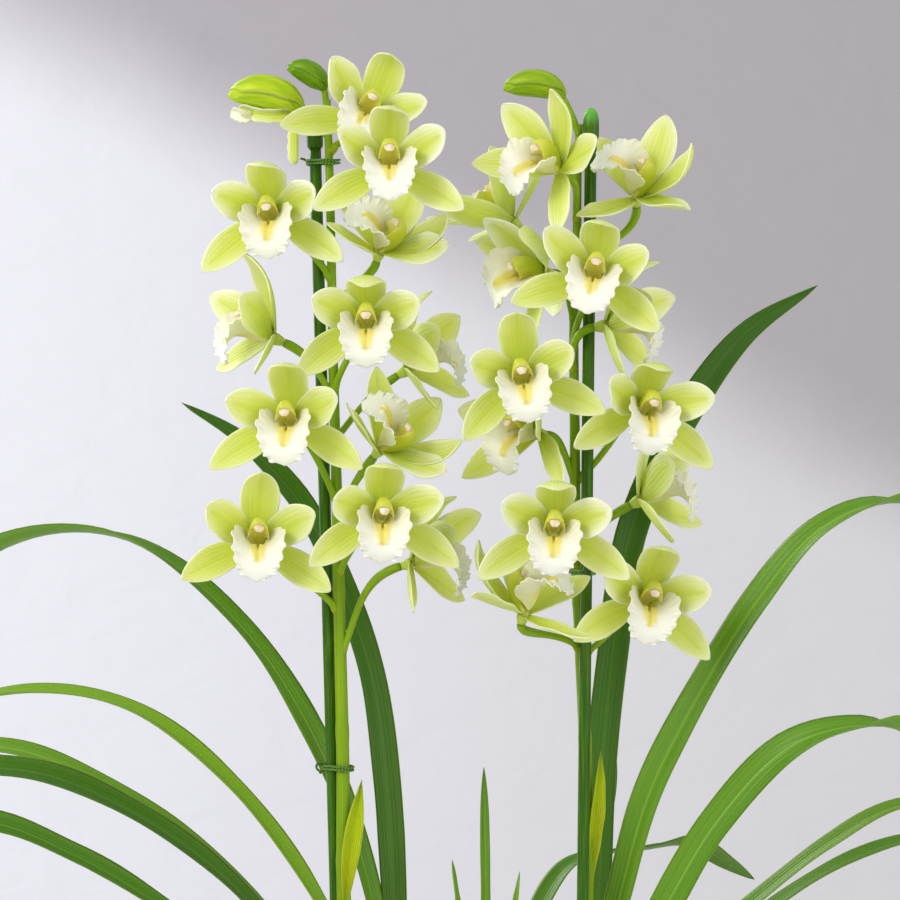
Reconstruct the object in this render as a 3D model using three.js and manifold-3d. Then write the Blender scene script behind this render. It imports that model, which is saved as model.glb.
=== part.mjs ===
// A potted cymbidium orchid: two staked flower spikes, strap leaves on pseudobulbs, bark and a plain pot.
// Millimetres, +Z up. The origin is the centre of the pot's underside, and -Y is the side it is seen from.

import * as THREE from "three";
import { mergeVertices } from "three/addons/utils/BufferGeometryUtils.js";
import Module from "manifold-3d";

const wasm = await Module();
wasm.setup();

// Driving dimensions.
const CLEARANCE = 0.3;
const POT = {
  height: 162,
  rimRadius: 96,
  rimBand: 16,
  rimStep: 3,
  footRadius: 66,
  wall: 4.5,
  floor: 7,
  sides: 28,
};
const DRAIN = { count: 4, radius: 5, ring: 40, sides: 6 };
const BARK = { top: 150, margin: 18, chips: 28, chipLength: 24, chipWidth: 16, chipHeight: 7 };
const STAKE = { radius: 3, foot: 24, capRadius: 4.1, capHeight: 16, sides: 9 };
const STEM = { sides: 7, steps: 12 };
const PEDICEL = { radius: 1.8, sides: 4, steps: 4 };
const BLADE_THICKNESS = 1.4;
const LIP_THICKNESS = 1.2;
const LEAF_THICKNESS = 1.8;

const COLOURS = {
  pot: "#d9d3c7",
  bark: "#5a3c26",
  leaf: "#4f8a2c",
  stem: "#86ab3a",
  stake: "#1f5a24",
  tie: "#3f8f34",
  tepal: "#cfdc84",
  lip: "#f3efdc",
};

// ---- Solids ----

const vec = (x, y, z) => new THREE.Vector3(x, y, z);
const radians = THREE.MathUtils.degToRad;

// A closed geometry as a manifold-3d solid, with its faces turned outwards.
function solidFrom(geometry) {
  const bare = new THREE.BufferGeometry().setAttribute("position", geometry.getAttribute("position"));
  bare.setIndex(geometry.getIndex());
  const merged = mergeVertices(bare, 1e-4);
  const position = merged.getAttribute("position").array;
  const index = merged.getIndex().array;
  const faces = [];
  let volume = 0;
  const corner = [vec(0, 0, 0), vec(0, 0, 0), vec(0, 0, 0)];
  for (let i = 0; i < index.length; i += 3) {
    const [a, b, c] = [index[i], index[i + 1], index[i + 2]];
    if (a === b || b === c || c === a) continue;
    faces.push(a, b, c);
    [a, b, c].forEach((v, k) => corner[k].fromArray(position, 3 * v));
    volume += corner[0].dot(corner[1].cross(corner[2]));
  }
  if (volume < 0) faces.reverse();
  return new wasm.Manifold(
    new wasm.Mesh({ numProp: 3, vertProperties: position, triVerts: new Uint32Array(faces) }),
  );
}

function geometryFrom(solid) {
  const mesh = solid.getMesh();
  const geometry = new THREE.BufferGeometry();
  geometry.setAttribute("position", new THREE.BufferAttribute(mesh.vertProperties, 3));
  geometry.setIndex(new THREE.BufferAttribute(mesh.triVerts, 1));
  geometry.computeVertexNormals();
  return geometry;
}

// Joined solids, kept as one body: a hollow sealed inside it is filled, and a loose scrap is dropped.
function largestBody(solid) {
  return solid.decompose().reduce((best, body) => (body.volume() > best.volume() ? body : best));
}

const fuse = (solids) => largestBody(solids.reduce((whole, next) => whole.add(next)));
const carve = (solid, tools) => largestBody(tools.reduce((left, tool) => left.subtract(tool), solid));

// Joins rings of points, each with the same count, into one closed skin with flat ends.
function loft(rings) {
  const count = rings[0].length;
  const position = rings.flat().flatMap((p) => p.toArray());
  const index = [];
  for (let i = 0; i + 1 < rings.length; i++) {
    for (let j = 0; j < count; j++) {
      const a = i * count + j;
      const b = i * count + ((j + 1) % count);
      index.push(a, b, b + count, a, b + count, a + count);
    }
  }
  const last = (rings.length - 1) * count;
  for (let j = 1; j + 1 < count; j++) {
    index.push(0, j + 1, j, last, last + j, last + j + 1);
  }
  const geometry = new THREE.BufferGeometry();
  geometry.setAttribute("position", new THREE.Float32BufferAttribute(position, 3));
  return geometry.setIndex(index);
}

// A round tube along a curve, with its radius given along the way from 0 to 1.
function tube(curve, radiusAt, sides, steps) {
  const frames = curve.computeFrenetFrames(steps);
  const rings = [];
  for (let i = 0; i <= steps; i++) {
    const centre = curve.getPointAt(i / steps);
    const radius = radiusAt(i / steps);
    rings.push(
      Array.from({ length: sides }, (_, j) => {
        const turn = (2 * Math.PI * j) / sides;
        return centre
          .clone()
          .addScaledVector(frames.normals[i], radius * Math.cos(turn))
          .addScaledVector(frames.binormals[i], radius * Math.sin(turn));
      }),
    );
  }
  return loft(rings);
}

// A thin closed blade round a grid of points: full thickness inside, sharp along its whole border.
// Both faces are split into triangles alike, so a waved blade never crosses itself.
function blade(grid, thickness) {
  const rows = grid.length;
  const columns = grid[0].length;
  const normalAt = (i, j) => {
    const along = grid[Math.min(i + 1, rows - 1)][j].clone().sub(grid[Math.max(i - 1, 0)][j]);
    const across = grid[i][Math.min(j + 1, columns - 1)].clone().sub(grid[i][Math.max(j - 1, 0)]);
    return across.cross(along).normalize();
  };
  const position = [];
  for (const side of [0.5, -0.5]) {
    grid.forEach((row, i) =>
      row.forEach((point, j) => {
        const inner = i > 0 && i < rows - 1 && j > 0 && j < columns - 1;
        const shift = inner ? side * thickness : 0;
        position.push(...point.clone().addScaledVector(normalAt(i, j), shift).toArray());
      }),
    );
  }
  const index = [];
  const back = rows * columns;
  for (let i = 0; i + 1 < rows; i++) {
    for (let j = 0; j + 1 < columns; j++) {
      const a = i * columns + j;
      const split = j < (columns - 1) / 2;
      const quad = split
        ? [a, a + 1, a + columns, a + 1, a + columns + 1, a + columns]
        : [a, a + 1, a + columns + 1, a, a + columns + 1, a + columns];
      index.push(...quad);
      index.push(...quad.map((k) => k + back).reverse());
    }
  }
  const geometry = new THREE.BufferGeometry();
  geometry.setAttribute("position", new THREE.Float32BufferAttribute(position, 3));
  return geometry.setIndex(index);
}

// The same draw for the same pair of numbers, from -1 to 1.
function vary(a, b) {
  const x = Math.sin(a * 12.9898 + b * 78.233) * 43758.5453;
  return 2 * (x - Math.floor(x)) - 1;
}

// ---- Flowers ----
// A flower's own axes: X to its right as it is looked at, -Y out of its face, +Z towards its top sepal.

const SEPAL_TOP = {
  angle: 0, sweep: 0, length: 44, width: 21, lift: 24, bend: 80,
  twist: 0, cup: 0.2, root: 0.26, blunt: 0.4, seat: 0,
};
const PETAL = {
  angle: 63, sweep: 14, length: 42, width: 20, lift: 37, bend: 24,
  twist: 6, cup: 0.06, root: 0.24, blunt: 0.38, seat: 1.7,
};
const SEPAL_SIDE = {
  angle: 114, sweep: 22, length: 46, width: 17.5, lift: 7, bend: 12,
  twist: -14, cup: 0.14, root: 0.28, blunt: 0.22, seat: 0,
};
const TEPAL_STEPS = 24;
const TEPAL_ROWS = [0, 6, 13, 19, 24];
const TEPAL_START = 1.6; // how far from the flower's centre a tepal's root lies
const TEPAL_BELLY = 0.56; // where along the blade it is widest

// Half-width of a tepal as a share of its greatest: root is the share at the root, blunt the one at the tip.
function tepalHalfWidth({ root, blunt }, along) {
  if (along < TEPAL_BELLY) return root + (1 - root) * Math.sin((Math.PI / 2) * (along / TEPAL_BELLY));
  const past = (along - TEPAL_BELLY) / (1 - TEPAL_BELLY);
  return blunt + (1 - blunt) * Math.pow(Math.max(0, 1 - Math.pow(past, 2.4)), 0.8);
}

// One sepal or petal as a grid of points: it leaves the centre at an angle from the top,
// lifts towards the face, bends as it goes, swings sideways and twists about its own midrib.
function tepalGrid(form, mirror) {
  const side = mirror ? -1 : 1;
  const start = radians(side * form.angle);
  const centre = vec(TEPAL_START * Math.sin(start), -form.seat, TEPAL_START * Math.cos(start));
  const rows = [];
  for (let step = 0; step <= TEPAL_STEPS; step++) {
    const along = step / TEPAL_STEPS;
    const angle = radians(side * (form.angle + form.sweep * along));
    const rise = radians(form.lift + form.bend * along * along);
    const outward = vec(Math.sin(angle), 0, Math.cos(angle));
    const forward = vec(0, -1, 0);
    const across = vec(Math.cos(angle), 0, -Math.sin(angle));
    const normal = forward.clone().multiplyScalar(Math.cos(rise)).addScaledVector(outward, -Math.sin(rise));
    const turn = radians(side * form.twist * along);
    const width = across.clone().multiplyScalar(Math.cos(turn)).addScaledVector(normal, Math.sin(turn));
    const face = normal.clone().multiplyScalar(Math.cos(turn)).addScaledVector(across, -Math.sin(turn));
    if (TEPAL_ROWS.includes(step)) {
      const half = (form.width / 2) * tepalHalfWidth(form, along);
      rows.push(
        [-1, 0, 1].map((s) =>
          centre.clone().addScaledVector(width, s * half).addScaledVector(face, form.cup * half * s * s * 2),
        ),
      );
    }
    const stride = form.length / TEPAL_STEPS;
    centre.addScaledVector(outward, stride * Math.cos(rise));
    centre.addScaledVector(forward, stride * Math.sin(rise));
  }
  return rows;
}

// The small differences that make each flower its own.
function personal(form, flower, part) {
  return {
    ...form,
    angle: form.angle + 4 * vary(flower, part),
    length: form.length * (1 + 0.04 * vary(flower, part + 10)),
    bend: form.bend + 8 * vary(flower, part + 20),
    twist: form.twist + 8 * vary(flower, part + 30),
  };
}

// Forward and up distances of the column's rings, with their half-width and half-height.
const COLUMN = [
  { forward: 1.8, up: 1.4, half: 3.2, deep: 2.6 },
  { forward: 9, up: 6.6, half: 4.2, deep: 2.4 },
  { forward: 16.5, up: 9, half: 6.2, deep: 2.6 },
  { forward: 21.5, up: 6.6, half: 3.4, deep: 3 },
];
const COLUMN_SIDES = 5;

function column() {
  const rings = COLUMN.map(({ forward, up, half, deep }, i) => {
    const next = COLUMN[Math.min(i + 1, COLUMN.length - 1)];
    const before = COLUMN[Math.max(i - 1, 0)];
    const lean = Math.atan2(next.up - before.up, next.forward - before.forward);
    return Array.from({ length: COLUMN_SIDES }, (_, j) => {
      const turn = (2 * Math.PI * j) / COLUMN_SIDES;
      const lift = deep * Math.sin(turn);
      return vec(half * Math.cos(turn), -(forward - lift * Math.sin(lean)), up + lift * Math.cos(lean));
    });
  });
  return loft(rings);
}

const RECEPTACLE = { back: 5, front: 3.4, radius: 3.3, neck: 2.1, sides: 5 };

function receptacle() {
  const { back, front, radius, neck, sides } = RECEPTACLE;
  const profile = [
    [neck, -back],
    [radius, 0],
    [radius, front],
  ];
  return loft(
    profile.map(([r, forward]) =>
      Array.from({ length: sides }, (_, j) => {
        const turn = (2 * Math.PI * j) / sides;
        return vec(r * Math.cos(turn), -forward, r * Math.sin(turn));
      }),
    ),
  );
}

// Rows of the lip from its hinge to its tip: forward and up along the floor, half-width, and how far the
// edges stand above the floor. The side lobes stand beside the column and the front lobe hangs and curls.
const LIP = [
  { forward: 3.8, up: -2.6, half: 2.6, rise: 0.3 },
  { forward: 9, up: -4.6, half: 9, rise: 8 },
  { forward: 14.5, up: -5.2, half: 12, rise: 11 },
  { forward: 19, up: -5.6, half: 13.4, rise: 9.5 },
  { forward: 22, up: -9.4, half: 11.6, rise: 2.4 },
  { forward: 22.4, up: -15.6, half: 11.4, rise: -1 },
  { forward: 19, up: -22, half: 7.2, rise: -2 },
];
const LIP_RUFFLE = 0.8;
const LIP_FIRST_RUFFLE = 3;

function lipGrid(flower) {
  return LIP.map(({ forward, up, half, rise }, i) => {
    const next = LIP[Math.min(i + 1, LIP.length - 1)];
    const before = LIP[Math.max(i - 1, 0)];
    const along = new THREE.Vector2(next.forward - before.forward, next.up - before.up).normalize();
    return [-1, -0.5, 0, 0.5, 1].map((s) => {
      const edge = Math.abs(s) === 1 && i >= LIP_FIRST_RUFFLE;
      const ruffle = edge ? LIP_RUFFLE * (i % 2 ? 1 : -1) * (1 + 0.4 * vary(flower, 40 + i + s)) : 0;
      const height = rise * Math.pow(Math.abs(s), 1.8) + ruffle;
      const wide = half * Math.sin((Math.PI / 2) * s);
      return vec(wide, -(forward - height * along.y), up + height * along.x);
    });
  });
}

function bloomSolid(flower, { hood = SEPAL_TOP.bend, own = {} }) {
  const tepals = [
    tepalGrid(personal({ ...SEPAL_TOP, bend: hood }, flower, 1), false),
    tepalGrid(personal({ ...PETAL, ...own.right }, flower, 2), false),
    tepalGrid(personal({ ...PETAL, ...own.left }, flower, 3), true),
    tepalGrid(personal({ ...SEPAL_SIDE, ...own.lowRight }, flower, 4), false),
    tepalGrid(personal({ ...SEPAL_SIDE, ...own.lowLeft }, flower, 5), true),
  ];
  const blades = tepals.map((grid) => solidFrom(blade(grid, BLADE_THICKNESS)));
  return fuse([solidFrom(receptacle()), ...blades, solidFrom(column())]);
}

const lipSolid = (flower) => solidFrom(blade(lipGrid(flower), LIP_THICKNESS));

// Where each flower sits, which way its face and its top sepal point, and the height at which its
// stalk leaves the stem. Both lists run from the lowest flower to the highest. hood is the bend of
// the top sepal, own holds what differs in its petals and side sepals, arrive is how long a stalk
// runs straight behind its flower, as a share of its reach, and leave is the way a stalk
// sets off where it has to pass a stake.
const FLOWERS_LEFT = [
  {
    at: [-24, -14, 408.5], face: [0.93, -0.2, 0.25], up: [-0.25, 0, 0.97], from: 362,
    own: { right: { angle: 48, lift: 43, bend: 34, length: 42 }, lowLeft: { lift: -2, bend: 10 } },
  },
  { at: [-100, -24, 418], face: [0.08, -0.97, 0.2], up: [0.05, 0, 1], from: 384, hood: 62 },
  { at: [-38.5, -44, 432], face: [0.09, -1, -0.03], up: [0.05, 0, 1], from: 403, hood: 100 },
  {
    at: [-39.5, -20, 465], face: [0.5, -0.62, 0.61], up: [0.83, 0.12, -0.56], from: 430,
    own: {
      right: { angle: 18, lift: 26, twist: -34 },
      left: { lift: 18 },
      lowRight: { angle: 140, lift: 32 },
    },
  },
  { at: [-82.5, -39, 478], face: [-0.12, -0.98, 0.05], up: [0, 0, 1], from: 438, hood: 92 },
  {
    at: [-26.5, 9, 505], face: [0.82, -0.25, 0.5], up: [-0.5, 0, 0.85], from: 470,
    leave: [6, 13, 8],
  },
  { at: [-45.5, -37, 526.5], face: [0, -1, 0], up: [0, 0, 1], from: 495, hood: 130 },
  { at: [-92, -8, 520.5], face: [-0.88, -0.3, 0.37], up: [0.36, 0.05, 0.93], from: 490, hood: 62 },
  { at: [-92.5, -14, 580.5], face: [-0.11, -0.99, 0], up: [-0.04, 0, 1], from: 550, hood: 98 },
  {
    at: [-40, -4, 563.5], face: [0.2, -0.7, 0.69], up: [0.94, 0.1, -0.17], from: 535,
    own: {
      right: { angle: 18, lift: 26, twist: -34 },
      left: { lift: 30 },
      lowRight: { angle: 140, lift: 34 },
    },
  },
  { at: [-34.5, -46, 602], face: [0.03, -0.96, 0.25], up: [0, 0, 1], from: 590, hood: 112 },
  { at: [-47, -10, 628], face: [0.12, -0.93, 0.35], up: [0.42, 0.2, 0.9], from: 614, hood: 110 },
];
const FLOWERS_RIGHT = [
  {
    at: [91, -19, 389.5], face: [0.2, -0.97, 0.05], up: [0.2, 0, 1], from: 362,
    leave: [12, 1, 6], hood: 100,
  },
  {
    at: [31.5, -38, 384], face: [0.2, -0.4, 0.89], up: [-0.96, 0.08, 0.26], from: 365, arrive: 0.14,
    own: { left: { angle: 46, lift: 16, twist: 30 }, lowLeft: { angle: 134, lift: 4 } },
  },
  { at: [46, -52, 425.5], face: [0, -1, 0], up: [0.05, 0, 1], from: 409, hood: 115 },
  { at: [90.5, 8, 439.5], face: [0.86, -0.25, 0.44], up: [-0.45, 0, 0.89], from: 412 },
  {
    at: [89.5, -28, 484], face: [0.25, -0.97, 0], up: [0.12, 0, 1], from: 450,
    hood: 112, leave: [14, 2, 8],
  },
  { at: [39.5, -8, 473], face: [-0.7, -0.68, 0.05], up: [0.1, 0, 1], from: 448, hood: 100 },
  { at: [31, -40, 499], face: [0, -1, 0.03], up: [-0.17, 0, 1], from: 486, hood: 74 },
  { at: [72, -14, 526.5], face: [0.95, -0.25, 0.12], up: [-0.12, 0, 0.99], from: 505, leave: [-2, -8, 8] },
  {
    at: [65.5, -46, 547.5], face: [0, -0.97, 0.22], up: [0.2, 0.22, 0.95], from: 515,
    leave: [-2, -10, 12], hood: 115,
  },
  {
    at: [42, -5, 553.5], face: [-0.82, -0.57, 0], up: [0.45, -0.65, 0.6], from: 530,
    own: { right: { lift: 8 } },
  },
  { at: [27.5, 22, 580], face: [-0.7, 0.05, 0.7], up: [-0.35, -0.85, -0.35], from: 548 },
  {
    at: [88, -10, 590.5], face: [-0.08, -0.6, 0.79], up: [0.97, -0.16, -0.02], from: 562,
    leave: [13, 4, 4], own: { right: { angle: 44, lift: 6, twist: 30 }, left: { lift: 28 } },
  },
  {
    at: [49, -28, 603], face: [-0.65, -0.7, 0.3], up: [0.44, -0.26, 0.86], from: 580,
    hood: 58, own: { right: { angle: 46, lift: 12 } },
  },
];

// A flower's placement in the world, from its place, its face and its top.
function placement({ at, face, up }) {
  const forward = vec(...face).normalize();
  const right = vec(...up).cross(forward).normalize();
  const top = forward.clone().cross(right).normalize();
  const turned = new THREE.Matrix4().makeBasis(right, forward.clone().negate(), top);
  const quaternion = new THREE.Quaternion().setFromRotationMatrix(turned);
  return { position: vec(...at), quaternion, forward };
}

// ---- Spikes ----

const SPIKE_LEFT = {
  path: [
    [-50, -1, 96],
    [-53.5, -2, 160],
    [-57.5, -2, 240],
    [-58, -2, 306],
    [-59.3, -2, 365],
    [-61, -2, 440],
    [-63, -2, 515],
    [-64, -2, 575],
    [-65, -2, 614],
    [-66, -2, 640],
  ],
  foot: 3.6,
  top: 1.9,
};
const SPIKE_RIGHT = {
  path: [
    [57, 6, 96],
    [60, 6, 160],
    [64, 6, 240],
    [63.5, 6, 310],
    [61, 5.5, 365],
    [58.5, 4, 420],
    [58, 3, 470],
    [57.5, 2, 530],
    [59, 1.5, 575],
    [59.5, 1.5, 612],
    [60, 1.5, 628],
  ],
  foot: 3.6,
  top: 1.9,
};

const curveThrough = (points) =>
  new THREE.CatmullRomCurve3(points.map((p) => vec(...p)), false, "centripetal");

// The point of a spike's path at a height, straight between its given points.
function pointAtHeight(path, height) {
  const above = path.findIndex((p) => p[2] >= height);
  const [a, b] = [path[above - 1], path[above]];
  return vec(...a).lerp(vec(...b), (height - a[2]) / (b[2] - a[2]));
}

// A flower stalk leaves the stem outwards and upwards, and meets the flower squarely from behind.
function stalk(path, flower) {
  const root = pointAtHeight(path, flower.from);
  const { position, forward } = placement(flower);
  const end = position.clone().addScaledVector(forward, -(RECEPTACLE.back + CLEARANCE));
  const reach = end.distanceTo(root);
  const straight = end.clone().sub(root).multiplyScalar(0.3).add(vec(0, 0, 0.12 * reach));
  const leave = root.clone().add(flower.leave ? vec(...flower.leave) : straight);
  const arrive = end.clone().addScaledVector(forward, -(flower.arrive ?? 0.4) * reach);
  const curve = new THREE.CubicBezierCurve3(root, leave, arrive, end);
  return tube(curve, () => PEDICEL.radius, PEDICEL.sides, PEDICEL.steps);
}

// An unopened bud: a pointed, slightly curved pod on its own stalk.
const POD_PROFILE = [0.34, 0.86, 1, 0.82, 0.2];
const POD_SIDES = 7;

function pod({ root, base, tip, belly, radius }) {
  const body = new THREE.QuadraticBezierCurve3(vec(...base), vec(...belly), vec(...tip));
  const last = POD_PROFILE.length - 1;
  const skin = tube(body, (along) => radius * POD_PROFILE[Math.round(along * last)], POD_SIDES, last);
  const middle = vec(...root).lerp(vec(...base), 0.5).add(vec(0, 0, 4));
  const neck = new THREE.QuadraticBezierCurve3(vec(...root), middle, vec(...base));
  return [solidFrom(skin), solidFrom(tube(neck, () => PEDICEL.radius, PEDICEL.sides, 3))];
}

const BUDS_LEFT = [
  { root: [-66, -2, 630], base: [-67, -2, 645], belly: [-74, -4, 657], tip: [-86, -4, 655], radius: 6 },
  { root: [-66, -2, 622], base: [-79, -6, 633], belly: [-92, -8, 648], tip: [-115, -8, 640], radius: 10 },
];
const BUDS_RIGHT = [
  { root: [60, 1, 622], base: [52, 0, 641], belly: [42, -2, 653], tip: [22, -2, 645], radius: 7 },
];

// A pointed leaf-like blade along given points, keeled along its middle.
// A list of evenly spaced numbers, read at a share of the way along it.
function readAt(list, along) {
  const at = along * (list.length - 1);
  const k = Math.min(list.length - 2, Math.floor(at));
  return list[k] + (list[k + 1] - list[k]) * (at - k);
}

function strap({ points, width, facing, thickness, ...shape }) {
  const { twist = [0, 0], rows = 9, keel = 0.16, profile = leafHalfWidth } = shape;
  const curve = curveThrough(points);
  const level = vec(Math.cos(radians(facing)), Math.sin(radians(facing)), 0);
  const grid = [];
  for (let i = 0; i <= rows; i++) {
    const along = i / rows;
    const tangent = curve.getTangentAt(along);
    const across = level.clone().addScaledVector(tangent, -level.dot(tangent)).normalize();
    across.applyAxisAngle(tangent, radians(readAt(twist, along)));
    const upper = across.clone().cross(tangent);
    const centre = curve.getPointAt(along);
    const half = (width / 2) * profile(along);
    grid.push(
      [-1, 0, 1].map((s) =>
        centre
          .clone()
          .addScaledVector(across, s * half)
          .addScaledVector(upper, keel * half * (2 * s * s - 1)),
      ),
    );
  }
  return solidFrom(blade(grid, thickness));
}

// Strap leaves keep their width for most of their length and end in a long point.
function leafHalfWidth(along) {
  const root = 0.55 + 0.45 * Math.min(1, along / 0.3);
  const point = along < 0.7 ? 1 : Math.pow(Math.max(0, 1 - Math.pow((along - 0.7) / 0.3, 1.7)), 0.75);
  return root * point;
}

// A bract wraps the stem at its root and tapers to a free tip.
function bractHalfWidth(along) {
  return Math.pow(Math.sin(Math.PI * Math.min(0.999, 0.32 + 0.68 * along)), 0.8);
}

const BRACTS_LEFT = [
  { points: [[-57, -5, 228], [-54, -6, 262], [-48.5, -5, 300]], width: 9.5, facing: 10 },
];
const BRACTS_RIGHT = [
  { points: [[66, 5.5, 228], [69, 4, 264], [69.5, 2, 312]], width: 8, facing: 40 },
];

function spikeSolid(spike, flowers, buds, bracts) {
  const taper = (along) => spike.foot + (spike.top - spike.foot) * along;
  const stem = solidFrom(tube(curveThrough(spike.path), taper, STEM.sides, STEM.steps));
  const stalks = flowers.map((flower) => solidFrom(stalk(spike.path, flower)));
  const pods = buds.flatMap(pod);
  const sheaths = bracts.map((b) =>
    strap({ ...b, rows: 4, keel: 0.35, profile: bractHalfWidth, thickness: LEAF_THICKNESS }),
  );
  return fuse([stem, ...stalks, ...pods, ...sheaths]);
}

// ---- Leaves and pseudobulbs ----

const BULB_SIDES = 9;
const BULB_PROFILE = [
  [0.7, 0],
  [0.97, 0.22],
  [1, 0.42],
  [0.8, 0.7],
  [0.4, 1],
];

// A ridged, egg-shaped swelling that the leaves grow from.
function bulbSolid({ at, radius, flat, height }, grow = 0) {
  const rings = BULB_PROFILE.map(([share, up]) =>
    Array.from({ length: BULB_SIDES }, (_, j) => {
      const turn = (2 * Math.PI * j) / BULB_SIDES;
      const r = radius * share + grow;
      const level = at[2] - grow + up * (height + 2 * grow);
      return vec(at[0] + r * Math.cos(turn), at[1] + r * flat * Math.sin(turn), level);
    }),
  );
  return solidFrom(loft(rings));
}

const BULB_LEFT = { at: [-34, 12, 132], radius: 16, flat: 0.8, height: 48 };
const BULB_RIGHT = { at: [57, 27, 132], radius: 15, flat: 0.85, height: 48 };
const BULB_YOUNG = { at: [14, 14, 134], radius: 11, flat: 0.85, height: 34 };

// Each leaf is the list of points that its midrib passes through. facing is the compass
// direction of its width, in degrees from +X, and twist turns it, listed evenly from root to tip.
const LEAVES_LEFT = [
  {
    points: [
      [-33, 14, 160], [-43.5, 18, 240], [-67, 18, 309], [-109.5, 15, 377],
      [-169.5, 10, 422], [-230, 2, 418], [-285, -8, 368],
    ],
    width: 15, facing: 60, twist: [0, -14, -20, -4, 20, 40],
  },
  {
    points: [
      [-36, 2, 158], [-52, -18, 200], [-68, -26, 240], [-110, -34, 299],
      [-160, -42, 338.5], [-210, -52, 348], [-290, -66, 330],
    ],
    width: 15, facing: 80, twist: [0, -12, -17, -11, -11],
  },
  {
    points: [
      [-38, 10, 160], [-72, 22, 196], [-116, 20, 248], [-166, 10, 285],
      [-215, 0, 305], [-265, -10, 303], [-318, -16, 268],
    ],
    width: 16, facing: 80, twist: [0, -55],
  },
  {
    points: [
      [-38, 18, 158], [-75, 42, 200], [-125, 48, 256], [-185, 52, 296],
      [-235, 58, 313], [-285, 64, 306], [-325, 68, 280],
    ],
    width: 14, facing: 80, twist: [0, -40],
  },
  {
    points: [
      [-36, 2, 154], [-58, -26, 172], [-80, -38, 190], [-130, -52, 232],
      [-185, -64, 268], [-235, -74, 286], [-300, -84, 262],
    ],
    width: 15, facing: 90, twist: [0, -50],
  },
  {
    points: [
      [-30, 14, 160], [-33, 24, 240], [-37, 28, 300], [-44, 30, 350],
      [-57, 32, 390], [-80, 32, 438], [-110, 30, 470], [-140.5, 28, 489],
    ],
    width: 13, facing: 10, twist: [0, 40], rows: 10,
  },
];
const LEAVES_RIGHT = [
  {
    points: [
      [58, 32, 160], [70.5, 32, 240], [72, 32, 300], [78, 33, 360],
      [88, 34, 425], [113, 34, 480], [145, 34, 524], [182, 32, 548.5],
    ],
    width: 17, facing: -8, twist: [0, 30], rows: 10,
  },
  {
    points: [
      [62, 24, 160], [80.5, 14, 240], [94, 8, 290], [110, 3, 325],
      [148.5, -4, 390], [182, -8, 428], [222, -12, 440.5], [295, -20, 412],
    ],
    width: 17, facing: -30, twist: [0, -20], rows: 10,
  },
  {
    points: [
      [64, 20, 158], [80, 2, 196], [103, -16, 240], [126, -26, 280],
      [160, -38, 318], [190, -44, 330], [225, -52, 328], [296, -62, 276],
    ],
    width: 17, facing: -30, twist: [0, 5, 6, -6, -10], rows: 10,
  },
  {
    points: [
      [66, 26, 156], [100, 16, 196], [150, 10, 240], [185, 4, 268],
      [222, 0, 288], [268, -4, 286], [312, -8, 258],
    ],
    width: 14, facing: -70, twist: [0, 20],
  },
  {
    points: [
      [66, 30, 154], [108, 34, 190], [168, 34, 240], [205, 36, 260],
      [240, 40, 268], [280, 44, 258], [318, 46, 232],
    ],
    width: 13, facing: -70, twist: [0, 20],
  },
  {
    points: [[54, 36, 158], [62, 44, 210], [70, 48, 260], [80.5, 50, 307.5]],
    width: 10, facing: 20, rows: 6,
  },
];
const LEAVES_YOUNG = [
  { points: [[14, 14, 158], [13.5, 12, 230], [12.5, 10, 306]], width: 5.5, facing: 10, rows: 5 },
  { points: [[13, 13, 158], [3, 8, 215], [-3.5, 4, 260]], width: 6, facing: 20, rows: 5 },
  { points: [[15, 13, 158], [25, 8, 215], [30.5, 6, 254]], width: 6, facing: -20, rows: 5 },
  {
    points: [
      [16, 16, 158], [34, 42, 216], [58, 62, 253], [95, 68, 260],
      [120, 70, 262], [140, 72, 251], [153, 74, 243],
    ],
    width: 13, facing: -20, twist: [0, -30], rows: 7,
  },
];

function shootSolid(bulb, leaves) {
  const blades = leaves.map((leaf) => strap({ thickness: LEAF_THICKNESS, ...leaf }));
  return fuse([bulbSolid(bulb), ...blades]);
}

// ---- Stakes and ties ----

const STAKE_LEFT = { top: [-72.5, 3.6, 632], bottom: [-55.8, 3.6] };
const STAKE_RIGHT = { top: [66, -2.4, 636], bottom: [59.5, -2.4] };

function stakeCurve({ top, bottom }) {
  const foot = vec(bottom[0], bottom[1], STAKE.foot);
  return new THREE.LineCurve3(foot, vec(...top));
}

function stakeSolid(stake, grow = 0) {
  const curve = stakeCurve(stake);
  const length = curve.getLength();
  const shaft = tube(curve, () => STAKE.radius + grow, STAKE.sides, 1);
  const crown = new THREE.LineCurve3(curve.getPointAt(1 - STAKE.capHeight / length), vec(...stake.top));
  const round = [1, 1, 1, 0.75, 0.3];
  const cap = tube(crown, (along) => round[Math.round(along * 4)] * (STAKE.capRadius + grow), STAKE.sides, 4);
  return fuse([solidFrom(shaft), solidFrom(cap)]);
}

// A tie is a closed band round the stake and the stem, with its two ends twisted together outside.
const TIE = { wire: 0.9, room: 0.5, sides: 4, steps: 14 };

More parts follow.
